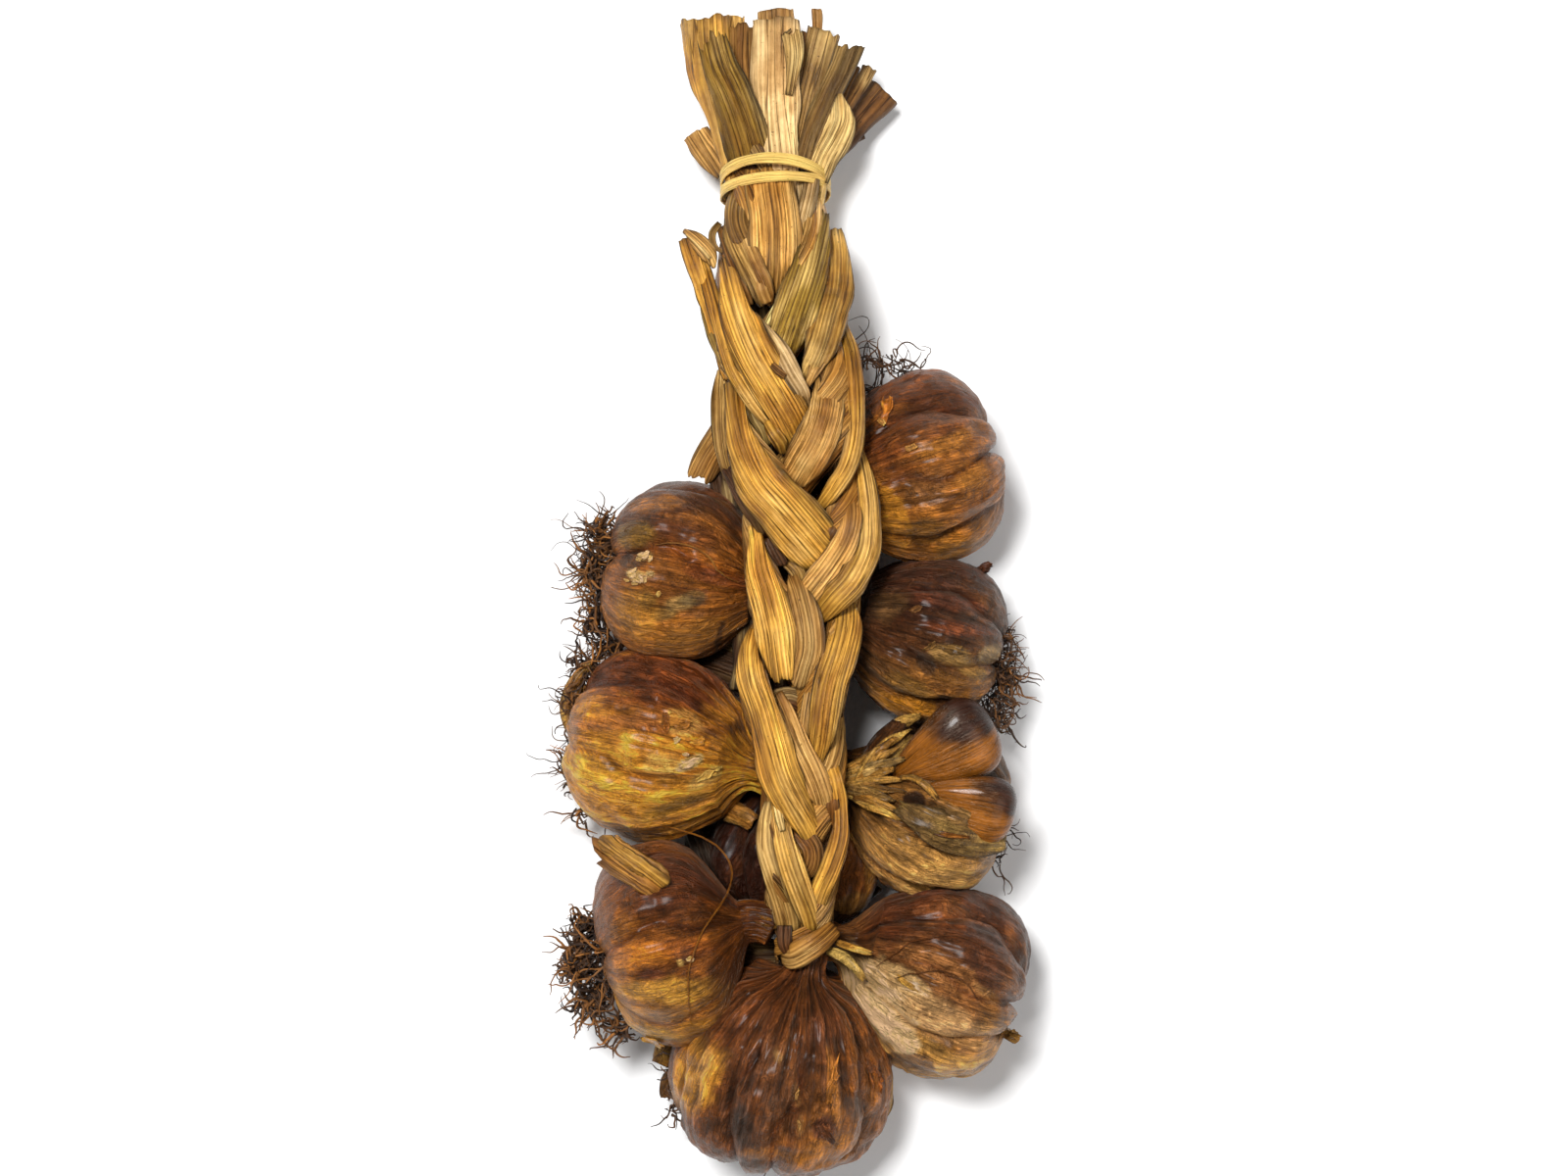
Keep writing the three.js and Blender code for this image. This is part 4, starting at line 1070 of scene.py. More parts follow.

# Patches of each bulb's skin, seen from above: x, y, half length, half width, angle, colour, strength,
# softness of the edge, and how far the skin steps up (or down) there. A few are painted highlights and sheen,
# and a few painted shade in holes, as the comments over them say.
MARKS = {
    "bulb_right_1": [
        (41.5, 51, 11, 6.5, 20, (84, 44, 24), 0.6, 1, 0),
        (48.5, 50, 7.5, 3, 35, (72, 36, 28), 0.5, 1, 0),
        # Golden-tan band, partly painted as a highlight stripe along the upper lobe's lower edge.
        (41.5, 39, 13, 2.5, 22, (178, 118, 54), 0.7, 0.6, 0.15),
        (45.5, 44, 8.5, 1.5, 25, (120, 66, 36), 0.6, 0.6, 0),
        (29, 36, 5, 8.5, 70, (96, 44, 22), 0.6, 1, 0),
        (29.5, 20.5, 9.5, 4.5, -62, (182, 124, 46), 0.85, 0.15, 0.3),
        (52.5, 31, 4.5, 4, 20, (176, 120, 62), 0.6, 0.6, 0),
        (40, 27.5, 6, 5.5, 10, (134, 92, 62), 0.6, 0.7, 0),
        (40, 16, 6.5, 3.5, 0, (104, 74, 32), 0.7, 0.5, 0),
        (51, 10.5, 8.5, 3.5, 10, (160, 110, 42), 0.7, 0.7, 0),
        (56.5, 17.5, 3, 4, 70, (140, 92, 40), 0.5, 0.6, 0),
        (47, 24.5, 4, 1.5, 40, (90, 54, 34), 0.5, 0.5, 0),
    ],
    "bulb_right_2": [
        (38.5, -0.5, 17, 6, 5, (66, 36, 28), 0.6, 1, 0),
        (44, -4, 11, 2, -12, (104, 56, 42), 0.6, 0.6, 0.1),
        (48.5, -12, 9.5, 2, -8, (118, 62, 42), 0.6, 0.6, 0.1),
        # Grey-brown fuzzy skin, lighter as a painted sheen.
        (29, -5.5, 6, 4, 35, (106, 80, 56), 0.55, 0.7, 0),
        (58, -19.5, 3.5, 2.5, 40, (160, 132, 100), 0.85, 0.4, 0),
        (46.5, -19.5, 6.5, 3, -12, (128, 102, 68), 0.75, 0.4, 0.25),
        (52.5, -24, 4.5, 2, -20, (150, 118, 76), 0.7, 0.3, 0.2),
        # Painted shade: a dark hole in the skin, over a shallow dent.
        (40, -22, 2.5, 3.5, 20, (58, 38, 28), 0.8, 0.2, -0.3),
        (34.5, -28.5, 6.5, 3, -25, (110, 84, 44), 0.6, 0.6, 0),
        (36, -34.5, 9, 2.5, -14, (186, 124, 38), 0.85, 0.5, 0),
        (45, -34.5, 3, 3, 0, (64, 38, 32), 0.7, 0.5, 0),
        (51, -32, 5, 2, 30, (160, 104, 40), 0.6, 0.6, 0),
        (23, -23, 5.5, 6.5, 60, (74, 50, 30), 0.6, 1, 0),
    ],
    "bulb_right_3": [
        (29, -56.5, 10, 3.5, -10, (140, 96, 50), 0.6, 0.6, 0.1),
        (44, -66, 12.5, 3.5, -4, (116, 90, 60), 0.85, 0.25, 0.25),
        (50, -73, 10, 2, 6, (112, 84, 62), 0.7, 0.4, 0),
        (36, -76.5, 12.5, 6, -35, (180, 136, 84), 0.7, 0.7, 0),
        (44, -83, 9.5, 3, 12, (190, 150, 102), 0.6, 0.7, 0),
        # Painted shade: the dark opening under the cloves, over a dent.
        (36.5, -61, 3.5, 3, 30, (44, 24, 14), 0.95, 0.2, -0.6),
        (34.5, -51, 7.5, 4.5, 0, (92, 58, 30), 0.7, 0.6, 0),
    ],
    "bulb_right_4": [
        (33, -93, 13, 6, 30, (84, 40, 22), 0.7, 0.8, 0),
        (48.5, -94.5, 7.5, 4, 15, (110, 60, 34), 0.5, 0.7, 0),
        (58, -97, 6.5, 6, -30, (76, 42, 30), 0.7, 0.8, 0),
        (55.5, -108.5, 7.5, 4.5, -35, (80, 46, 36), 0.75, 0.7, 0),
        (44, -108.5, 12.5, 4.5, -32, (136, 92, 60), 0.75, 0.2, 0.25),
        (34.5, -112.5, 9.5, 3, -38, (212, 176, 140), 0.85, 0.5, 0),
        (26, -116, 15, 6, -50, (222, 188, 156), 0.92, 0.4, 0.2),
        (30, -123, 11, 5.5, -58, (228, 198, 168), 0.95, 0.15, 0.3),
        (44, -122.5, 12.5, 5.5, -25, (192, 152, 120), 0.8, 0.5, 0),
        (55.5, -128, 8, 4, -10, (176, 134, 98), 0.7, 0.5, 0),
        (36, -135, 7.5, 3, -8, (116, 80, 50), 0.85, 0.15, -0.2),
        (61.5, -118.5, 1.5, 1, 0, (70, 44, 30), 0.9, 0.2, -0.2),
        (64, -101.5, 2, 7.5, 0, (112, 66, 34), 0.6, 0.8, 0),
        (57, -115.5, 4.5, 1.5, -35, (170, 126, 84), 0.6, 0.5, 0),
    ],
    "bulb_left_1": [
        (-31.5, 26, 13, 3.5, -4, (78, 44, 28), 0.7, 0.8, 0),
        (-37.5, 23, 8.5, 2, 6, (168, 108, 46), 0.65, 0.6, 0.1),
        (-42.5, 14.5, 5, 4, 10, (112, 86, 36), 0.75, 0.4, 0),
        (-28.5, 15, 9.5, 3.5, -20, (92, 48, 30), 0.6, 0.7, 0),
        (-43, 7.5, 4.5, 2.5, 10, (66, 42, 26), 0.85, 0.2, -0.2),
        (-40, 8.5, 2, 1.2, 15, (214, 176, 130), 0.8, 0.6, 0.15),
        (-42.5, 3, 2.6, 1.6, -20, (210, 172, 126), 0.8, 0.6, 0.15),
        (-38.5, 3.5, 1.2, 0.8, 0, (210, 172, 126), 0.8, 0.6, 0.15),
        (-25, 6.5, 12.5, 3.5, -22, (176, 104, 42), 0.7, 0.6, 0.1),
        (-19, 2, 9.5, 2, -14, (120, 62, 44), 0.6, 0.5, 0),
        (-39.5, -4, 2.5, 2, 10, (92, 74, 48), 0.85, 0.3, 0),
        (-34.5, -8, 3.5, 1.5, 10, (136, 106, 66), 0.8, 0.3, 0),
        (-26, -3.5, 3.5, 2, 10, (112, 86, 56), 0.8, 0.3, 0),
        # Painted highlight: a pale silvery spot.
        (-29.5, -5, 4, 2, 10, (198, 166, 120), 0.6, 0.7, 0),
        (-42, -7.5, 6.5, 6, -60, (172, 122, 52), 0.6, 0.7, 0),
        (-27, -14, 11, 4, 15, (142, 98, 46), 0.6, 0.8, 0),
        (-19, -15, 1, 4.5, -15, (60, 34, 18), 0.8, 0.2, -0.3),
    ],
    "bulb_left_2": [
        (-28.5, -27, 14, 4.5, -22, (104, 52, 24), 0.75, 0.8, 0),
        (-45.5, -38.5, 14, 2, 4, (156, 96, 56), 0.7, 0.5, 0.1),
        (-31.5, -40.5, 11, 1.5, 0, (122, 66, 40), 0.7, 0.5, 0),
        (-53, -51, 9.5, 6.5, -5, (232, 168, 64), 0.8, 0.7, 0),
        (-45.5, -59.5, 11, 3.5, -12, (216, 152, 54), 0.6, 0.8, 0),
        (-29.5, -38.5, 6, 3.5, -12, (206, 150, 88), 0.85, 0.2, 0.3),
        (-34.5, -38.5, 1, 4, 0, (120, 72, 32), 0.8, 0.2, -0.3),
        (-34.5, -50.5, 5.5, 4, 8, (212, 160, 92), 0.75, 0.4, 0.15),
        (-25, -45.5, 3.5, 2.5, 20, (202, 128, 36), 0.85, 0.2, -0.15),
        (-27, -50, 4, 1.5, 28, (238, 210, 158), 0.8, 0.2, 0.2),
        (-22.5, -54, 6, 2, 32, (214, 176, 110), 0.6, 0.5, 0.1),
        (-31.5, -62, 12.5, 2, 22, (150, 116, 56), 0.6, 0.6, 0),
        (-40, -70, 13, 2, 6, (150, 104, 40), 0.7, 0.7, 0),
        (-17.5, -41, 6, 1.5, 5, (92, 50, 24), 0.7, 0.6, 0),
    ],
    "bulb_left_3": [
        (-31.5, -86, 12.5, 6, 10, (84, 42, 26), 0.7, 0.9, 0),
        (-41, -103.5, 9.5, 3.5, 6, (196, 120, 38), 0.7, 0.7, 0),
        (-28.5, -101.5, 7.5, 2.5, 0, (150, 82, 36), 0.5, 0.7, 0),
        (-37.5, -109, 4, 1.5, 0, (110, 58, 44), 0.7, 0.5, 0),
        (-31.5, -113.5, 13, 3.5, 2, (200, 148, 64), 0.75, 0.7, 0),
        (-34, -120.5, 6, 1.5, -6, (134, 94, 60), 0.7, 0.5, 0),
        (-38.5, -126.5, 9, 2, -10, (176, 138, 66), 0.7, 0.6, 0),
        (-49.5, -108.5, 1.5, 4.5, 0, (112, 70, 44), 0.7, 0.4, 0),
        (-16, -108.5, 6, 11, -25, (70, 36, 22), 0.65, 1, 0),
        (-29.5, -105.5, 1, 1, 0, (238, 196, 130), 0.8, 0.4, 0.1),
        (-45.5, -96, 4, 4, 0, (150, 96, 40), 0.5, 0.8, 0),
    ],
    "bulb_bottom": [
        (-25.5, -139, 6, 11, -25, (196, 138, 56), 0.9, 0.7, 0),
        (-22.5, -134.5, 2, 4.5, -25, (200, 150, 96), 0.6, 0.7, 0),
        (-12.5, -152, 3.5, 6.5, 5, (56, 38, 34), 0.8, 0.4, 0),
        (-3.5, -135, 4, 12.5, 6, (96, 62, 46), 0.5, 0.8, 0),
        (11, -124, 4, 7.5, -6, (108, 62, 42), 0.6, 0.5, 0.2),
        (13, -140.5, 1.5, 10, 8, (160, 104, 50), 0.8, 0.15, 0.45),
        (11, -152.5, 3.5, 3.5, 0, (92, 52, 40), 0.85, 0.15, 0.2),
        (19, -147.5, 2, 4, 10, (60, 44, 40), 0.7, 0.5, 0),
        (-6, -160.5, 7.5, 2, -6, (140, 90, 42), 0.8, 0.4, 0),
        (12, -160, 11, 4, 22, (158, 102, 42), 0.8, 0.3, 0),
        (3, -143.5, 1, 3.5, 8, (160, 120, 80), 0.4, 0.5, 0.15),
        (-2, -131.5, 1, 2, 20, (190, 150, 104), 0.4, 0.5, 0.2),
        (4, -152, 1, 3, 0, (160, 120, 80), 0.4, 0.5, 0.15),
        (22, -129.5, 4, 10, 14, (116, 66, 30), 0.6, 0.8, 0),
        (-16, -121, 8.5, 3.5, 35, (104, 60, 34), 0.5, 0.9, 0),
    ],
    "bulb_back_middle": [
        (19.5, -79, 5, 11, 0, (112, 66, 28), 0.8, 0.7, 0),
        (19, -91.5, 6, 3, 20, (120, 88, 48), 0.8, 0.4, 0),
        (24, -82.5, 1.5, 6.5, 0, (168, 118, 60), 0.8, 0.5, 0),
    ],
}


def lobes(phi, grooves):
    """How full the body is round its axis: 0 in a groove between cloves and 1 on a clove's back."""
    marks = np.sort(np.radians(np.array(grooves, dtype=float)) % (2 * np.pi))
    marks = np.append(marks, marks[0] + 2 * np.pi)
    phi = (phi - marks[0]) % (2 * np.pi) + marks[0]
    i = np.clip(np.searchsorted(marks, phi, side="right") - 1, 0, len(marks) - 2)
    share = (phi - marks[i]) / (marks[i + 1] - marks[i])
    return 1 - np.abs(2 * share - 1) ** 3


def body_surface(bulb, seed, t, phi):
    """Points on a bulb's body, the directions outwards and how full the cloves are there."""
    direction = unit(vec(*bulb["axis"]))
    across, out = section_axes(direction)
    root = vec(*bulb["middle"]) - direction * bulb["height"] / 2
    profile = through(BODY_PROFILE, t)
    rise, full = profile[..., 0], profile[..., 1]
    lobe = lobes(phi + 0.08 * np.sin(3 * phi + 9 * rise), bulb["grooves"])
    lump = 0.035 * fbm(np.cos(phi) * 1.5, np.sin(phi) * 1.5, t * 3, seed, 2)
    radial = np.cos(phi)[..., None] * across + bulb.get("flat", 1) * np.sin(phi)[..., None] * out
    for way, amount, reach in bulb.get("dents", []):
        lump = lump - amount * smooth(reach, 1, unit(radial) @ unit(vec(*way)))
    r = bulb["radius"] * full * (1 + lump) * (1 - bulb.get("closed", 0) * smooth(0.55, 1.05, rise) ** 3)
    p = root + direction * (bulb["height"] * rise)[..., None] + radial * r[..., None]
    outwards = unit(unit(radial) - smooth(0.5, 0.1, t)[..., None] * direction * 1.3)
    belly = smooth(0.02, 0.16, t) * smooth(1.0, 0.62, t)
    swell = bulb["radius"] * bulb["depth"] * 1.5 * (lobe - 0.75) * belly
    return p + outwards * swell[..., None], outwards, lobe


def bulb_rings(bulb, seed, rows, cols, neck_rows):
    """The whole skin of a bulb, from its root plate over the body and up the neck, finest at its front."""
    turn = np.linspace(0, 2 * np.pi, cols, endpoint=False)
    phi = (turn + 0.4 * np.cos(turn)) * np.ones((rows, 1))
    t = np.linspace(0, 1, rows)[:, None] * np.ones(cols)
    body, outwards, lobe = body_surface(bulb, seed, t, phi)
    direction = unit(vec(*bulb["axis"]))
    shoulder = vec(*bulb["middle"]) + direction * bulb["height"] / 2
    end = vec(*bulb["neck"])
    bend = shoulder + direction * 0.5 * np.linalg.norm(end - shoulder)
    s = np.linspace(0, 1, neck_rows + 1)[1:, None]
    line = shoulder * (1 - s) ** 2 + bend * 2 * s * (1 - s) + end * s**2
    way = unit((bend - shoulder) * (1 - s) + (end - bend) * s)
    across, out = section_axes(way)
    wide = np.linalg.norm(body[-1] - shoulder, axis=1)
    half = wide + (bulb["neck_radius"] - wide) * (1 - (1 - np.minimum(1, 1.5 * s)) ** 2.2)
    ring_phi = phi[:1] * np.ones((neck_rows, 1))
    neck = line[:, None] + half[..., None] * (
        np.cos(ring_phi)[..., None] * across[:, None] + np.sin(ring_phi)[..., None] * out[:, None]
    )
    p = np.concatenate([body, neck])
    n = np.concatenate([outwards, unit(neck - line[:, None])])
    phi = np.concatenate([phi, ring_phi])
    long = np.concatenate([t * 1.25 * bulb["height"], 1.25 * bulb["height"] + s * 20 * np.ones(cols)])
    t = np.concatenate([t, 1 + s * np.ones(cols)])
    return p, n, phi, long, t, np.concatenate([lobe, lobe[-1:] * np.ones((neck_rows, 1))])


def under_plait(p):
    """The points of a skin, pressed down where they would stand up through the plait."""
    middle_x, middle_z, sway, _, half_width, _ = np.moveaxis(plait_at(p[..., 1]), -1, 0)
    under = sway + half_width - np.abs(p[..., 0] - middle_x)
    ceiling = middle_z + 10 - 14 * smooth(0, 7, under)
    held = (under > 0) & (p[..., 1] > KNOT_Y) & (p[..., 2] > ceiling)
    p[..., 2] = np.where(held, ceiling + 0.1 * (p[..., 2] - ceiling), p[..., 2])
    return p


# What multiplies a skin's tint in its dark streaks, and the painted shade in the grooves between its cloves.
IN_STREAKS = vec(0.45, 0.3, 0.28)
GROOVE_SHADE = vec(0.5, 0.38, 0.3)


def bulb_patch(bulb, marks, seed, rows=92, cols=176, neck_rows=24):
    """A bulb's skin with its pleats, terraces, wrinkles and tints, and the marks given for it."""
    p, n, phi, long, t, lobe = bulb_rings(bulb, seed, rows, cols, neck_rows)
    cos, sin = np.cos(phi), np.sin(phi)

    def round_fbm(fineness, stretch, offset, octaves):
        """Noise round the bulb, drawn out from its root towards its neck."""
        return fbm(cos * fineness, sin * fineness, long / stretch, seed + offset, octaves)

    near_neck = smooth(0.5, 1.0, t)
    pleats = round_fbm(6, 40, 1, 3)
    creases = 1 - 2.5 * np.abs(round_fbm(10, 34, 2, 2))
    crumple = fbm_at(p, 5, seed + 3, 3)
    layer = round_fbm(3, 15, 6, 4) * 4
    terrace = np.floor(layer) + smooth(0.0, 0.12, layer - np.floor(layer))
    size = bulb["wrinkles"] * smooth(0.02, 0.2, t)
    rise = size * ((0.5 + 0.8 * near_neck) * pleats + (0.15 + 0.4 * near_neck) * creases + 0.5 * crumple)
    rise = rise + size * 0.35 * round_fbm(19, 30, 12, 2)
    crinkle = 1 - 3 * np.abs(fbm_at(p, 8, seed + 15, 2))
    rise = rise + 0.3 * size * crinkle * smooth(1.2, 0.8, t)
    rise = rise + 0.16 * terrace * smooth(1.3, 0.9, t)
    upper, middle, lower = bulb["tints"]
    lean = unit(vec(*bulb.get("lean", (0, 1)), 0))
    side = (p - vec(*bulb["middle"])) @ lean / bulb["radius"]
    side = side + 0.4 * round_fbm(2.2, 22, 4, 4)
    tint = blend(blend(lower, middle, smooth(-0.75, -0.1, side)), upper, smooth(0.05, 0.7, side))
    streak = round_fbm(13, 26, 8, 3)
    patchy = round_fbm(4, 14, 5, 4)
    tint = blend(tint, tint * IN_STREAKS, 0.42 * smooth(0.1, 0.5, streak))
    tint = blend(tint, middle * 1.3 + vec(0.03, 0.015, 0.004), 0.5 * smooth(0.12, 0.35, patchy))
    tint = tint * (1 + 0.1 * terrace + 0.5 * fbm_at(p, 3, seed + 14, 3))[..., None]
    for k, (x, y, long_half, wide_half, angle, colour, strength, softness, step) in enumerate(marks):
        dx, dy = p[..., 0] - x, p[..., 1] - y
        turn = np.radians(angle)
        along = (dx * np.cos(turn) + dy * np.sin(turn)) / long_half
        aside = (dy * np.cos(turn) - dx * np.sin(turn)) / wide_half
        rough = 0.4 * fbm(dx / 3.5, dy / 3.5, k * 7.7, seed + 9, 4)
        reach = np.sqrt(along**2 + aside**2) + rough
        inside = smooth(1.05 + 0.5 * softness, 0.97 - 0.5 * softness, reach)
        cover = strength * inside * smooth(-0.1, 0.2, n[..., 2])
        mottle = 1 + 0.3 * fbm(dx / 2.2, dy / 2.2, k, seed + 11, 3) + 0.15 * streak
        tint = blend(tint, rgb(*colour) * mottle[..., None], cover)
        rise = rise + step * cover
    # Painted shade in the grooves between the cloves.
    tint = blend(tint, tint * GROOVE_SHADE, smooth(0.45, 0.0, lobe) * smooth(1.2, 0.8, t) * 0.8)
    tint = tint * (0.5 + 0.5 * smooth(0.0, 0.12, t))[..., None]
    # Painted light and shade: skin that rises above its surroundings is lighter, and hollows darker.
    tint = tint * (1 + 0.22 * np.clip(rise - blurred(rise, 3), -1, 1) / 0.3)[..., None]
    grain = grain_at(phi * bulb["radius"] * 0.95, long, seed * 3.3)
    p = under_plait(p + n * rise[..., None])
    return tube_patch(p, grain, tint)


def surface_at(patch, x, y):
    """Height and direction outwards of the upper side of a patch at the given places."""
    normals = point_normals(patch.points, patch.faces)
    upper = normals[:, 2] > 0.05
    points, normals = patch.points[upper], normals[upper]
    gap = (x.reshape(-1, 1) - points[:, 0]) ** 2 + (y.reshape(-1, 1) - points[:, 1]) ** 2
    near = np.argpartition(gap, 4, axis=1)[:, :4]
    weight = 1 / (np.take_along_axis(gap, near, axis=1) + 0.05)
    weight = weight / weight.sum(axis=1, keepdims=True)
    height = (points[near, 2] * weight).sum(axis=1)
    normal = unit((normals[near] * weight[..., None]).sum(axis=1))
    return height.reshape(x.shape), normal.reshape(*x.shape, 3)


def flake(patch, x, y, long_half, wide_half, angle, colour, lift, seed):
    """A scale of skin that lies on a bulb, torn all round and raised at the end that the angle points to."""
    rows = int(np.clip(long_half * 2.6, 9, 40))
    cols = int(np.clip(wide_half * 2.6, 7, 34))
    u = np.linspace(-1, 1, rows)[:, None] * np.ones(cols)
    v = np.linspace(-1, 1, cols) * np.ones((rows, 1))
    round_u = u * np.sqrt(1 - 0.45 * v**2)
    round_v = v * np.sqrt(1 - 0.45 * u**2)
    torn = 1 + 0.9 * fbm(round_u * 1.8, round_v * 1.8, seed, seed, 4) * np.maximum(np.abs(u), np.abs(v)) ** 2
    turn = np.radians(angle)
    along, aside = round_u * torn * long_half, round_v * torn * wide_half
    px = x + along * np.cos(turn) - aside * np.sin(turn)
    py = y + along * np.sin(turn) + aside * np.cos(turn)
    z, n = surface_at(patch, px, py)
    raised = 0.3 + lift * smooth(0.1, 1.1, u + 0.3 * fbm(px / 4, py / 4, 0, seed + 1)) + 0.2 * np.abs(v) ** 2
    raised = raised + 0.25 * fbm(px / 2.5, py / 2.5, seed, seed + 2, 3)
    p = np.stack([px, py, z], axis=-1) + n * raised[..., None]
    edge = smooth(0.8, 1.0, np.maximum(np.abs(u), np.abs(v)))
    light = (1 + 0.35 * fbm(px / 3, py / 3, seed, seed + 3, 3)) * (1 + 0.25 * edge)
    return sheet_patch(p, 0.25, grain_at(aside, along, seed * 1.7), rgb(*colour) * light[..., None])


# Torn scales of skin on each bulb: x, y, half length, half width, angle, colour and lift.
FLAKES = {
    "bulb_right_1": [
        (28.5, 49, 3.6, 1.2, 72, (186, 112, 44), 2.0),
        (27.3, 46.5, 1.3, 0.7, -40, (214, 160, 100), 1.5),
        (35.5, 39, 1.6, 0.8, 20, (190, 140, 86), 0.6),
    ],
    "bulb_right_2": [
        (55, 4, 3, 1.5, 10, (70, 36, 24), 1.8),
        (47, -18, 2.6, 1.0, -14, (128, 98, 62), 0.5),
        (41, -17, 1.8, 0.7, 30, (122, 90, 56), 0.5),
        (37, -7, 1.6, 0.8, 20, (110, 74, 46), 0.6),
    ],
    "bulb_right_4": [
        (63.5, -128, 1.8, 2.0, -70, (150, 112, 64), 2.5),
        (34, -112, 3.4, 0.9, -38, (196, 150, 80), 0.6),
    ],
    "bulb_left_1": [
        (-40, 8.5, 1.5, 0.8, 15, (236, 198, 150), 0.4),
        (-38.4, 7.6, 0.9, 0.6, 60, (228, 186, 132), 0.4),
        (-41.6, 7.3, 0.8, 0.5, -30, (226, 184, 130), 0.4),
        (-43.4, 3.4, 1.4, 0.9, 40, (230, 190, 138), 0.4),
        (-41.7, 2.2, 1.5, 0.9, -25, (238, 200, 152), 0.4),
        (-42.8, 0.9, 0.9, 0.5, 10, (222, 180, 126), 0.4),
        (-39.8, 1.9, 0.8, 0.5, 80, (226, 186, 134), 0.4),
        (-38.5, 3.4, 0.8, 0.6, 0, (232, 192, 142), 0.4),
        (-44.8, 1.6, 0.7, 0.4, 0, (216, 172, 116), 0.4),
        (-36, -2, 0.8, 0.5, 60, (214, 166, 104), 0.4),
    ],
    "bulb_left_2": [
        (-30, -38.5, 3.4, 1.6, -14, (196, 132, 66), 1.0),
        (-34, -38.5, 0.9, 2.6, 3, (150, 92, 40), 0.9),
        (-27, -50, 3.4, 0.9, 30, (240, 206, 140), 0.9),
        (-23, -53.5, 3.4, 0.9, 32, (222, 178, 100), 0.8),
        (-31, -43.5, 1.0, 0.7, 40, (246, 214, 150), 0.8),
        (-28.5, -47.5, 0.8, 0.6, 0, (246, 214, 150), 0.8),
        (-25, -44, 1.8, 1.0, 10, (214, 150, 66), 0.8),
    ],
    "bulb_left_3": [
        (-38, -129, 3.4, 0.9, -14, (170, 124, 50), 0.8),
        (-27, -104.5, 0.9, 0.8, 0, (238, 190, 116), 0.4),
    ],
    "bulb_bottom": [
        (12.8, -140.5, 6, 1.0, 82, (162, 104, 46), 1.2),
        (11, -153.5, 2.4, 1.8, -70, (94, 54, 34), 1.0),
        (3, -143, 1.6, 0.45, 85, (168, 128, 84), 0.8),
        (4, -151.5, 1.3, 0.4, 90, (168, 128, 84), 0.8),
        (24, -137, 5, 1.4, -76, (120, 68, 30), 1.0),
    ],
}

# Loose fibres that lie on a bulb: places as x and y, thickness and colour.
FIBRES = {
    "bulb_left_3": [
        ([(-47, -68), (-38, -69), (-30, -70.5), (-21, -74), (-16.5, -80), (-17, -87), (-22, -94),
            (-25.5, -101), (-27.5, -108), (-27.5, -115), (-27, -122)], 0.32, rgb(176, 112, 42)),
    ],
    "bulb_left_1": [
        ([(-37, 12), (-32, 12.5), (-26, 11), (-22, 8), (-19, 4), (-14, 1)], 0.25, rgb(190, 130, 70)),
    ],
    "bulb_right_4": [
        ([(31, -111), (40, -109), (50, -111), (55, -118)], 0.22, rgb(120, 76, 44)),
        ([(26, -108), (36, -101), (48, -99), (58, -103)], 0.22, rgb(120, 70, 36)),
    ],
}


def fibre(patch, places, thick, colour, seed):
    """A loose fibre that lies on a bulb's skin."""
    t = np.linspace(0, 1, 40)
    line = through([(x, y, 0) for x, y in places], t)
    z, n = surface_at(patch, line[:, 0], line[:, 1])
    line[:, 2] = z
    line = line + n * (0.8 + 0.5 * fbm(t * 6, seed, 0, seed))[:, None]
    return wire(line, thick * (1 - 0.6 * np.abs(2 * t - 1) ** 3), colour, seed)


# The dry neck of bulb_right_3, split into narrow shreds that fan out from the plait.
SHRED_TINTS = (TAN * 0.8, BROWN, GREY * 0.8, TAN * 0.65)
SHREDS = [
    leaf([(15.5, -53.5 - 0.7 * k, 41), (20, -51 - 1.2 * k, 44.5), (25.5, -47 - 2 * k, 46 + 0.2 * k),
          (31.5 + 2 * (k % 3), -42 - 3.2 * k, 44.5 + 0.7 * min(k, 5))], [1.4, 3, 2.8, 0.5],
         SHRED_TINTS[k % 4], ragged=(0, 3), folds=1.6, cross=0.6, spread=25,
         twist=(15 * (k % 3 - 1), 30 - 10 * (k % 5)))
    for k in range(9)
]

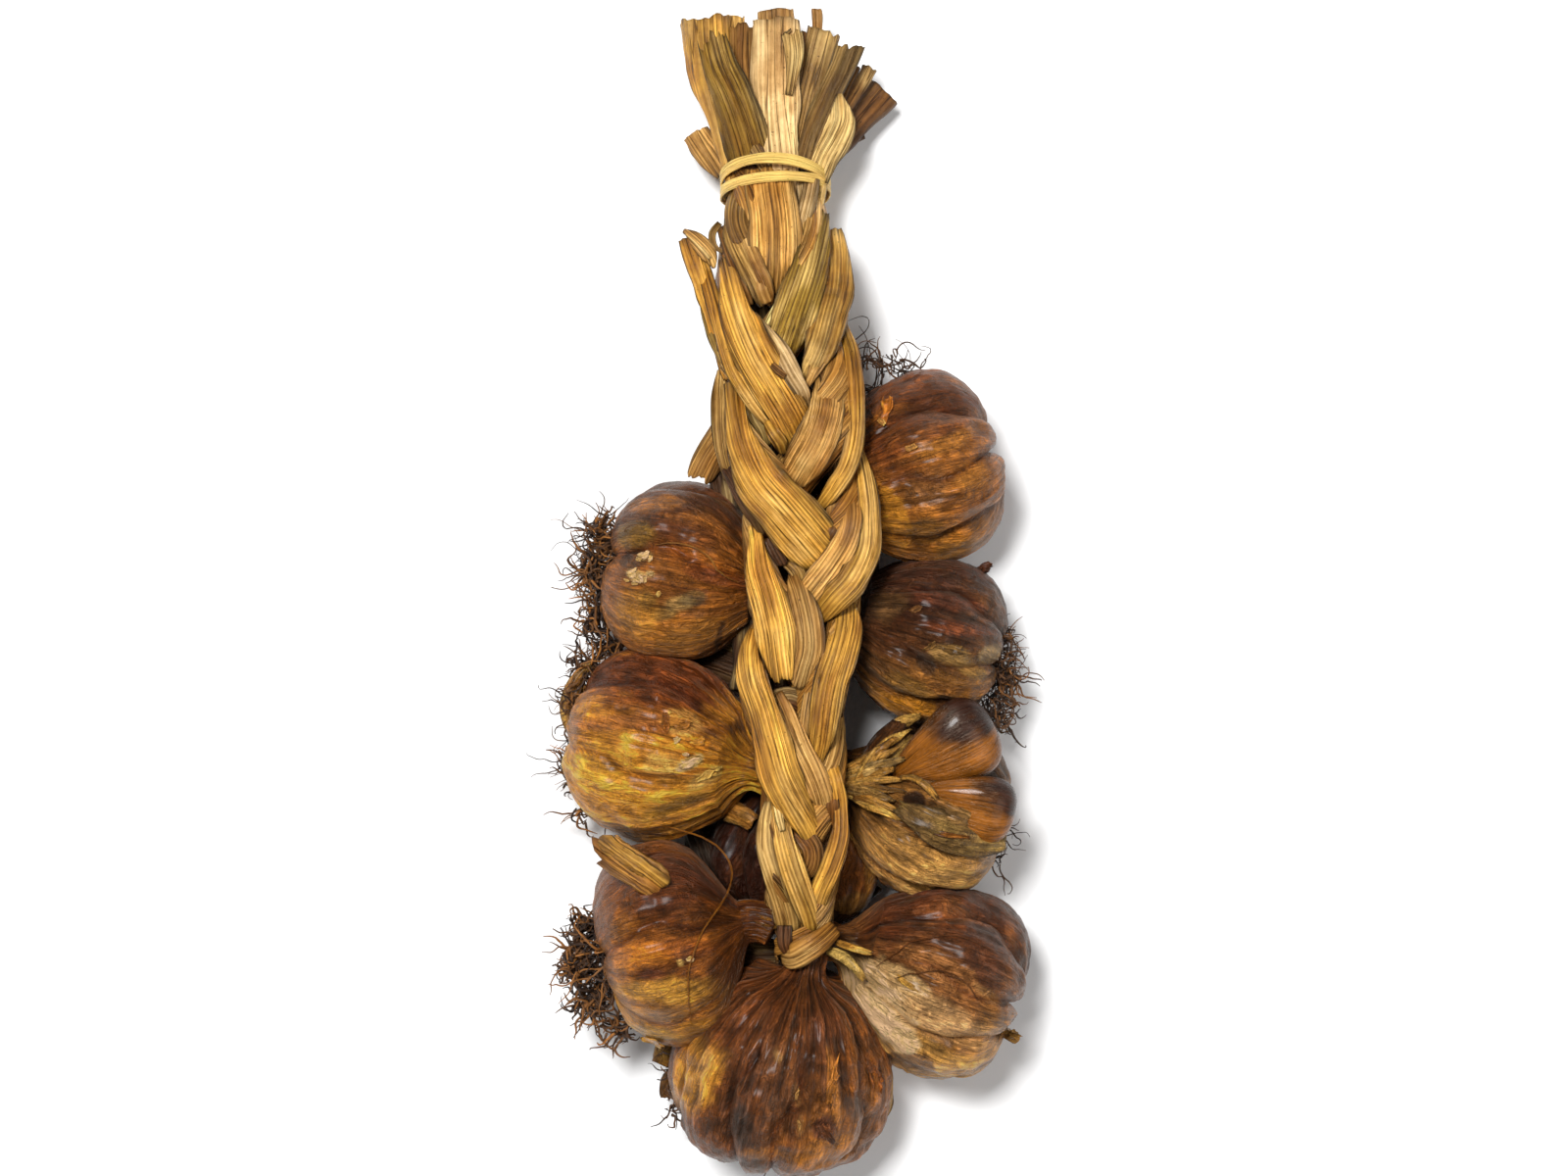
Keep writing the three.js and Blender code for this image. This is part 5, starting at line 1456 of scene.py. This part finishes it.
# Loose scraps of skin and leaf that stand off a bulb.
SCRAPS = {
    "bulb_right_3": [
        leaf([(18, -58, 42), (21.5, -53, 46), (26, -47, 47.5), (31, -42.5, 46), (36, -39.5, 43)],
            [1, 2.6, 3, 2, 0.5], TAN * 0.85, ragged=(0, 3), twist=(50, -50), folds=1.5, spread=20),
        leaf([(21, -57, 43), (25, -51, 44), (30, -45, 43.5), (35, -40, 40)], [7, 10, 11, 8], DARK * 0.8,
            ragged=(0, 3), folds=1.8, cross=0.5, spread=30),
        leaf([(27, -42.5, 37), (33, -38.5, 38), (39, -36.5, 36)], [1, 3, 0.6], BROWN * 0.8, ragged=(0, 2),
            folds=1.6),
        *SHREDS,
        leaf([(32, -54.5, 49.5), (36, -54.5, 51.5), (40, -57, 52.5), (43, -61, 52)], [1.5, 2.2, 2.4, 1],
            TAN * 0.55, ragged=(0, 3), twist=(20, 40), folds=1.4, spread=20),
        leaf([(31, -61.5, 48.5), (38, -66, 51.5), (46, -69.5, 52), (55, -71.5, 50), (63, -71.5, 44)],
            [3, 8, 11, 11, 6], rgb(112, 88, 58), ragged=(3, 1), folds=0.9),
        leaf([(36, -67.5, 50.5), (44, -70, 52.8), (52, -71, 52.2)], [1.2, 1.8, 1.2], BROWN * 0.8,
            folds=0.6),
    ],
    "bulb_left_2": [
        leaf([(-56, -22, 26), (-61, -28, 27), (-62.5, -36, 27), (-60, -44, 27), (-57.5, -50, 28)],
            [2, 5, 6.5, 5, 2], BROWN, ragged=(0, 2), twist=(10, 50), folds=1.2),
        leaf([(-58, -23, 24), (-60, -27, 25), (-58, -31, 26)], [2, 4, 2], AMBER * 0.8, ragged=(1, 2),
            folds=1.0),
        leaf([(-60, -46, 22), (-62.5, -49.5, 22), (-64, -51, 22)], [2, 2, 0.5], DARK * 0.6, spread=90),
        leaf([(-17, -64, 30), (-12, -66, 32), (-9, -68, 33)], [6, 6, 5], BROWN, ragged=(0, 2), spread=80),
    ],
    "bulb_bottom": [
        leaf([(28, -134, 34), (29.5, -142, 32), (29, -149, 30), (27, -154, 29)], [2, 5, 6, 3], AMBER,
            ragged=(0, 4), twist=(-60, -40), folds=0.8),
        leaf([(27, -138, 33), (28, -146, 31), (25.5, -153, 30)], [2, 4, 2.5], rgb(196, 150, 60),
            ragged=(0, 3), twist=(-50, -30)),
        leaf([(-30, -131, 22), (-34, -134, 22), (-36, -138, 22)], [3, 6, 4], BROWN * 0.9, spread=110,
            folds=1.0),
        leaf([(-27, -140, 16), (-33, -143, 15), (-35, -149, 14)], [4, 5, 2], BROWN * 0.7, ragged=(0, 3),
            folds=1.0),
    ],
    "bulb_right_4": [
        leaf([(12, -103.5, 44.5), (16, -105, 47.5), (20, -108.5, 49), (23, -113, 49.5)], [2, 3, 2.5, 1],
            PALE * 0.7, ragged=(0, 4), folds=0.8),
        leaf([(14, -101, 45), (19, -102.5, 48), (25, -104, 50.5)], [2, 2.5, 1], AMBER * 0.8, ragged=(0, 3)),
    ],
    "bulb_left_3": [
        leaf([(-10, -93.5, 44), (-6, -95, 45), (-2, -96.5, 44.5)], [2.5, 3, 2.5], BROWN * 0.8,
            ragged=(2, 1), spread=90, folds=0.8),
    ],
}

for index, (name, bulb) in enumerate(BULBS.items()):
    detail = dict(rows=50, cols=96, neck_rows=14) if name in ("bulb_back_top", "bulb_back_left") else {}
    patches = [bulb_patch(bulb, MARKS.get(name, []), 100 + 7 * index, **detail)]
    for k, scale in enumerate(FLAKES.get(name, [])):
        patches.append(flake(patches[0], *scale, 300 + 20 * index + k))
    for k, thread in enumerate(FIBRES.get(name, [])):
        patches.append(fibre(patches[0], *thread, 500 + k))
    patches += ribbons(SCRAPS.get(name, []), 600 + 20 * index)
    add_piece(name.replace("bulb", "head"), patches, "bulb_skin", SKIN, name)

# ---- Bare cloves ----

# halves are half the length, width and depth, and cap is the share of the length where the dark end starts.
CLOVES = {
    "bare_clove_upper": dict(
        middle=(44.5, -46.5, 41), axis=(0.86, 0.48, -0.08), halves=(16.5, 13, 10.5), cap=0.6,
    ),
    "bare_clove_lower": dict(
        middle=(50.5, -61.5, 45.5), axis=(0.97, -0.2, -0.1), halves=(15, 10.5, 9.5), cap=0.85,
    ),
}
CLOVE_TINT = rgb(144, 84, 20)
CLOVE_DARK = rgb(52, 27, 19)


def clove_patch(clove, seed, rows=60, cols=64):
    """A bare clove, pointed at its neck end and blunt and dark at its root end."""
    t = np.linspace(0, 1, rows)[:, None] * np.ones(cols)
    phi = ring_angles(rows, cols)
    direction = unit(vec(*clove["axis"]))
    across, out = section_axes(direction)
    length, wide, deep = clove["halves"]
    full = np.maximum(0.03, 1.14 * t**0.6 * np.sqrt(1 - t**6))
    flat = 1 - 0.12 * np.cos(3 * phi + 1) + 0.03 * fbm(np.cos(phi) * 3, np.sin(phi) * 3, t * 2, seed)
    p = (
        vec(*clove["middle"])
        + ((2 * t - 1) * length)[..., None] * direction
        + (wide * full * flat * np.cos(phi))[..., None] * across
        + (deep * full * flat * np.sin(phi))[..., None] * out
    )
    patch = fbm(np.cos(phi) * 2, np.sin(phi) * 2, t * 3, seed)
    dark = smooth(-0.2, 0.6, patch + 0.9 * np.cos(phi) + 1.4 * (t - clove["cap"]))
    grain = grain_at(phi * wide, t * 2 * length, seed)
    return tube_patch(p, grain, blend(CLOVE_TINT, CLOVE_DARK, dark))


for index, (name, clove) in enumerate(CLOVES.items()):
    add_piece(name.replace("bare", "glossy"), [clove_patch(clove, 61 + index)], "bare_clove", CLOVE, name)

# ---- Root hairs ----

DARK_HAIR = rgb(46, 27, 12)
PALE_HAIR = rgb(158, 100, 38)


def hair(start, way, length, radius, curl, paler, rng, steps=16):
    """One curly root hair as a thin tapered tube."""
    points = [start]
    heading = unit(way)
    bend = rng.normal(size=3)
    for _ in range(steps):
        bend = 0.75 * bend + 0.65 * rng.normal(size=3)
        heading = unit(heading + curl * bend * 0.35)
        points.append(points[-1] + heading * length / steps)
    t = np.linspace(0, 1, int(steps * 1.7) + 1)
    line = through(points, t)
    line[:, 2] = np.maximum(line[:, 2], radius + FLOOR_CLEARANCE)
    tone = blend(DARK_HAIR, PALE_HAIR, paler * rng.random() ** 2)
    return wire(line, radius * (1 - 0.7 * t**2), tone, rng.random() * 50)


# For each tuft: its bulb, how far its feet spread, number of long hairs, their length, radius and lean, and
# how pale the palest are.
ROOT_TUFTS = {
    "roots_left_1": ("bulb_left_1", 13, 70, (10, 28), 0.36, (0, -0.3, 0.05), 1),
    "roots_left_2": ("bulb_left_2", 17, 50, (8, 20), 0.32, (0, 0.1, 0), 1),
    "roots_left_3": ("bulb_left_3", 12, 80, (9, 22), 0.42, (0, -0.1, 0.1), 1),
    "roots_right_2": ("bulb_right_2", 12, 60, (8, 20), 0.32, (0, -0.3, 0.05), 0.6),
    "roots_right_3": ("bulb_right_3", 8, 22, (6, 14), 0.28, (0, -0.4, -0.2), 0.3),
    "roots_bottom": ("bulb_bottom", 10, 26, (7, 15), 0.36, (-0.9, 0.3, -0.2), 0.7),
    "roots_back_top": ("bulb_back_top", 9, 44, (22, 48), 0.3, (0.1, 0.5, 0.3), 0.25),
}

MATTED_LENGTH = (6, 14)

# Where the hairs are matted: middle, reach to each side and number of hairs.
ROOT_MATS = {
    "roots_left_1": [
        ((-53, 15, 26), (3.5, 6, 6), 70),
        ((-55, 4, 26), (4.5, 6, 7), 100),
        ((-54, -8, 25), (4.5, 6, 6), 90),
        ((-49, -18, 23), (4, 5, 5), 60),
    ],
    "roots_left_2": [
        ((-57, -23, 24), (4.5, 4, 5), 60),
        ((-61, -36, 22), (3, 6, 5), 40),
        ((-61, -52, 18), (3.5, 6, 5), 30),
        ((-57, -64, 17), (4, 5, 5), 35),
    ],
    "roots_left_3": [
        ((-57, -98, 31), (4, 5, 6), 80),
        ((-60, -108, 31), (4.5, 6, 7), 120),
        ((-56, -119, 29), (5, 5, 6), 90),
        ((-48, -127, 27), (4, 3.5, 5), 40),
    ],
    "roots_right_2": [
        ((60, -15, 24), (2.5, 4, 5), 45),
        ((63, -26, 24), (3.5, 5.5, 6), 80),
        ((61.5, -37, 23), (4, 5, 5), 60),
    ],
    "roots_right_3": [
        ((60, -79, 22), (2.5, 3, 3), 14),
    ],
    "roots_bottom": [
        ((-30, -139, 24), (3.5, 5, 5), 40),
        ((-30, -150, 22), (3.5, 4, 4), 30),
    ],
    "roots_back_top": [
        ((27, 63, 27), (8, 6, 5), 26),
        ((35, 60, 25), (5, 4, 4), 12),
    ],
}

for index, (name, (bulb, spread, count, length, radius, lean, paler)) in enumerate(ROOT_TUFTS.items()):
    rng = np.random.default_rng(500 + index)
    direction = -unit(vec(*BULBS[bulb]["axis"]))
    plate = vec(*BULBS[bulb]["middle"]) + direction * (BULBS[bulb]["height"] / 2 - 1)
    across, out = section_axes(direction)
    hairs = []
    for _ in range(count):
        angle = rng.random() * 2 * np.pi
        reach = spread * 0.75 * np.sqrt(rng.random())
        aside = across * np.cos(angle) + out * np.sin(angle)
        way = direction * (0.5 + rng.random()) + aside * (0.2 + 1.3 * reach / spread) + vec(*lean)
        thick = radius * rng.uniform(0.6, 1.1)
        hairs.append(hair(plate + aside * reach, way, rng.uniform(*length), thick, 1.3, paler, rng))
    for middle, reach, number in ROOT_MATS[name]:
        for _ in range(number):
            start = vec(*middle) + vec(*reach) * unit(rng.normal(size=3)) * rng.random() ** 0.5
            thick = radius * rng.uniform(0.7, 1.25)
            way = rng.normal(size=3)
            hairs.append(hair(start, way, rng.uniform(*MATTED_LENGTH), thick, 2.2, paler, rng, steps=11))
    add_piece(name.replace("roots", "root_hairs"), hairs, "root_hair", ROOT, name)

# ---- All pieces ----

# Painted shade: each point is blended towards near black by how deep it lies below its neighbours, for the
# shade in hollows and gaps.
HOLLOW_SHADE_COLOUR = rgb(30, 14, 6)
MOST_HOLLOW_SHADE = 0.92

for piece, share in zip(PIECES, painted_hollow_shade(PIECES)):
    name, points, faces, grain, tint, *rest = piece
    make_piece(name, points, faces, grain, blend(tint, HOLLOW_SHADE_COLOUR, MOST_HOLLOW_SHADE * share), *rest)

# ---- Floor, light and camera ----


def plain_material(name, colour, roughness):
    """A matt surface with a very faint unevenness."""
    s = Shader(name)
    coordinates = s.add("TexCoord").outputs["Object"]
    speckle = s.noise(coordinates, (40, 40, 40), 2.0)
    return s.finish(colour, s.remap(speckle, 0.3, 0.7, roughness - 0.05, roughness + 0.05), speckle, 0.00002)


floor_mesh = bpy.data.meshes.new("floor")
FLOOR_HALF = 3.0
corners = [(x * FLOOR_HALF, y * FLOOR_HALF, 0) for x, y in ((-1, -1), (1, -1), (1, 1), (-1, 1))]
floor_mesh.from_pydata(corners, [], [(0, 1, 2, 3)])
floor_mesh.materials.append(plain_material("pale_floor", (0.94, 0.94, 0.94, 1), 0.8))
floor = bpy.data.objects.new("floor", floor_mesh)
bpy.context.scene.collection.objects.link(floor)

world = bpy.data.worlds.new("studio")
world.use_nodes = True
background = world.node_tree.nodes["Background"].inputs
background["Color"].default_value = (1, 1, 1, 1)
background["Strength"].default_value = 0.2
bpy.context.scene.world = world
bpy.context.scene.view_settings.view_transform = "Standard"


def area_light(name, place, size, power):
    """A square lamp that looks at the middle of the braid."""
    light = bpy.data.lights.new(name, "AREA")
    light.size = size
    light.energy = power
    lamp = bpy.data.objects.new(name, light)
    lamp.location = place
    lamp.rotation_euler = (-Vector(place)).to_track_quat("-Z", "Y").to_euler()
    bpy.context.scene.collection.objects.link(lamp)


area_light("key", (-0.6, 0.8, 2.9), 0.7, 112)
area_light("fill", (1.6, -0.9, 2.4), 1.6, 24)

FRAME_WIDTH = 0.448  # of the view, at the height of the bulbs' middles
MIDDLE_HEIGHT = 0.035
CAMERA_PLACE = (-0.00106, 0.00264, 1.5)
SENSOR_WIDTH = 36
camera_data = bpy.data.cameras.new("camera")
camera_data.sensor_width = SENSOR_WIDTH
camera_data.lens = SENSOR_WIDTH * (CAMERA_PLACE[2] - MIDDLE_HEIGHT) / FRAME_WIDTH
camera = bpy.data.objects.new("camera", camera_data)
camera.location = CAMERA_PLACE
bpy.context.scene.collection.objects.link(camera)
bpy.context.scene.camera = camera
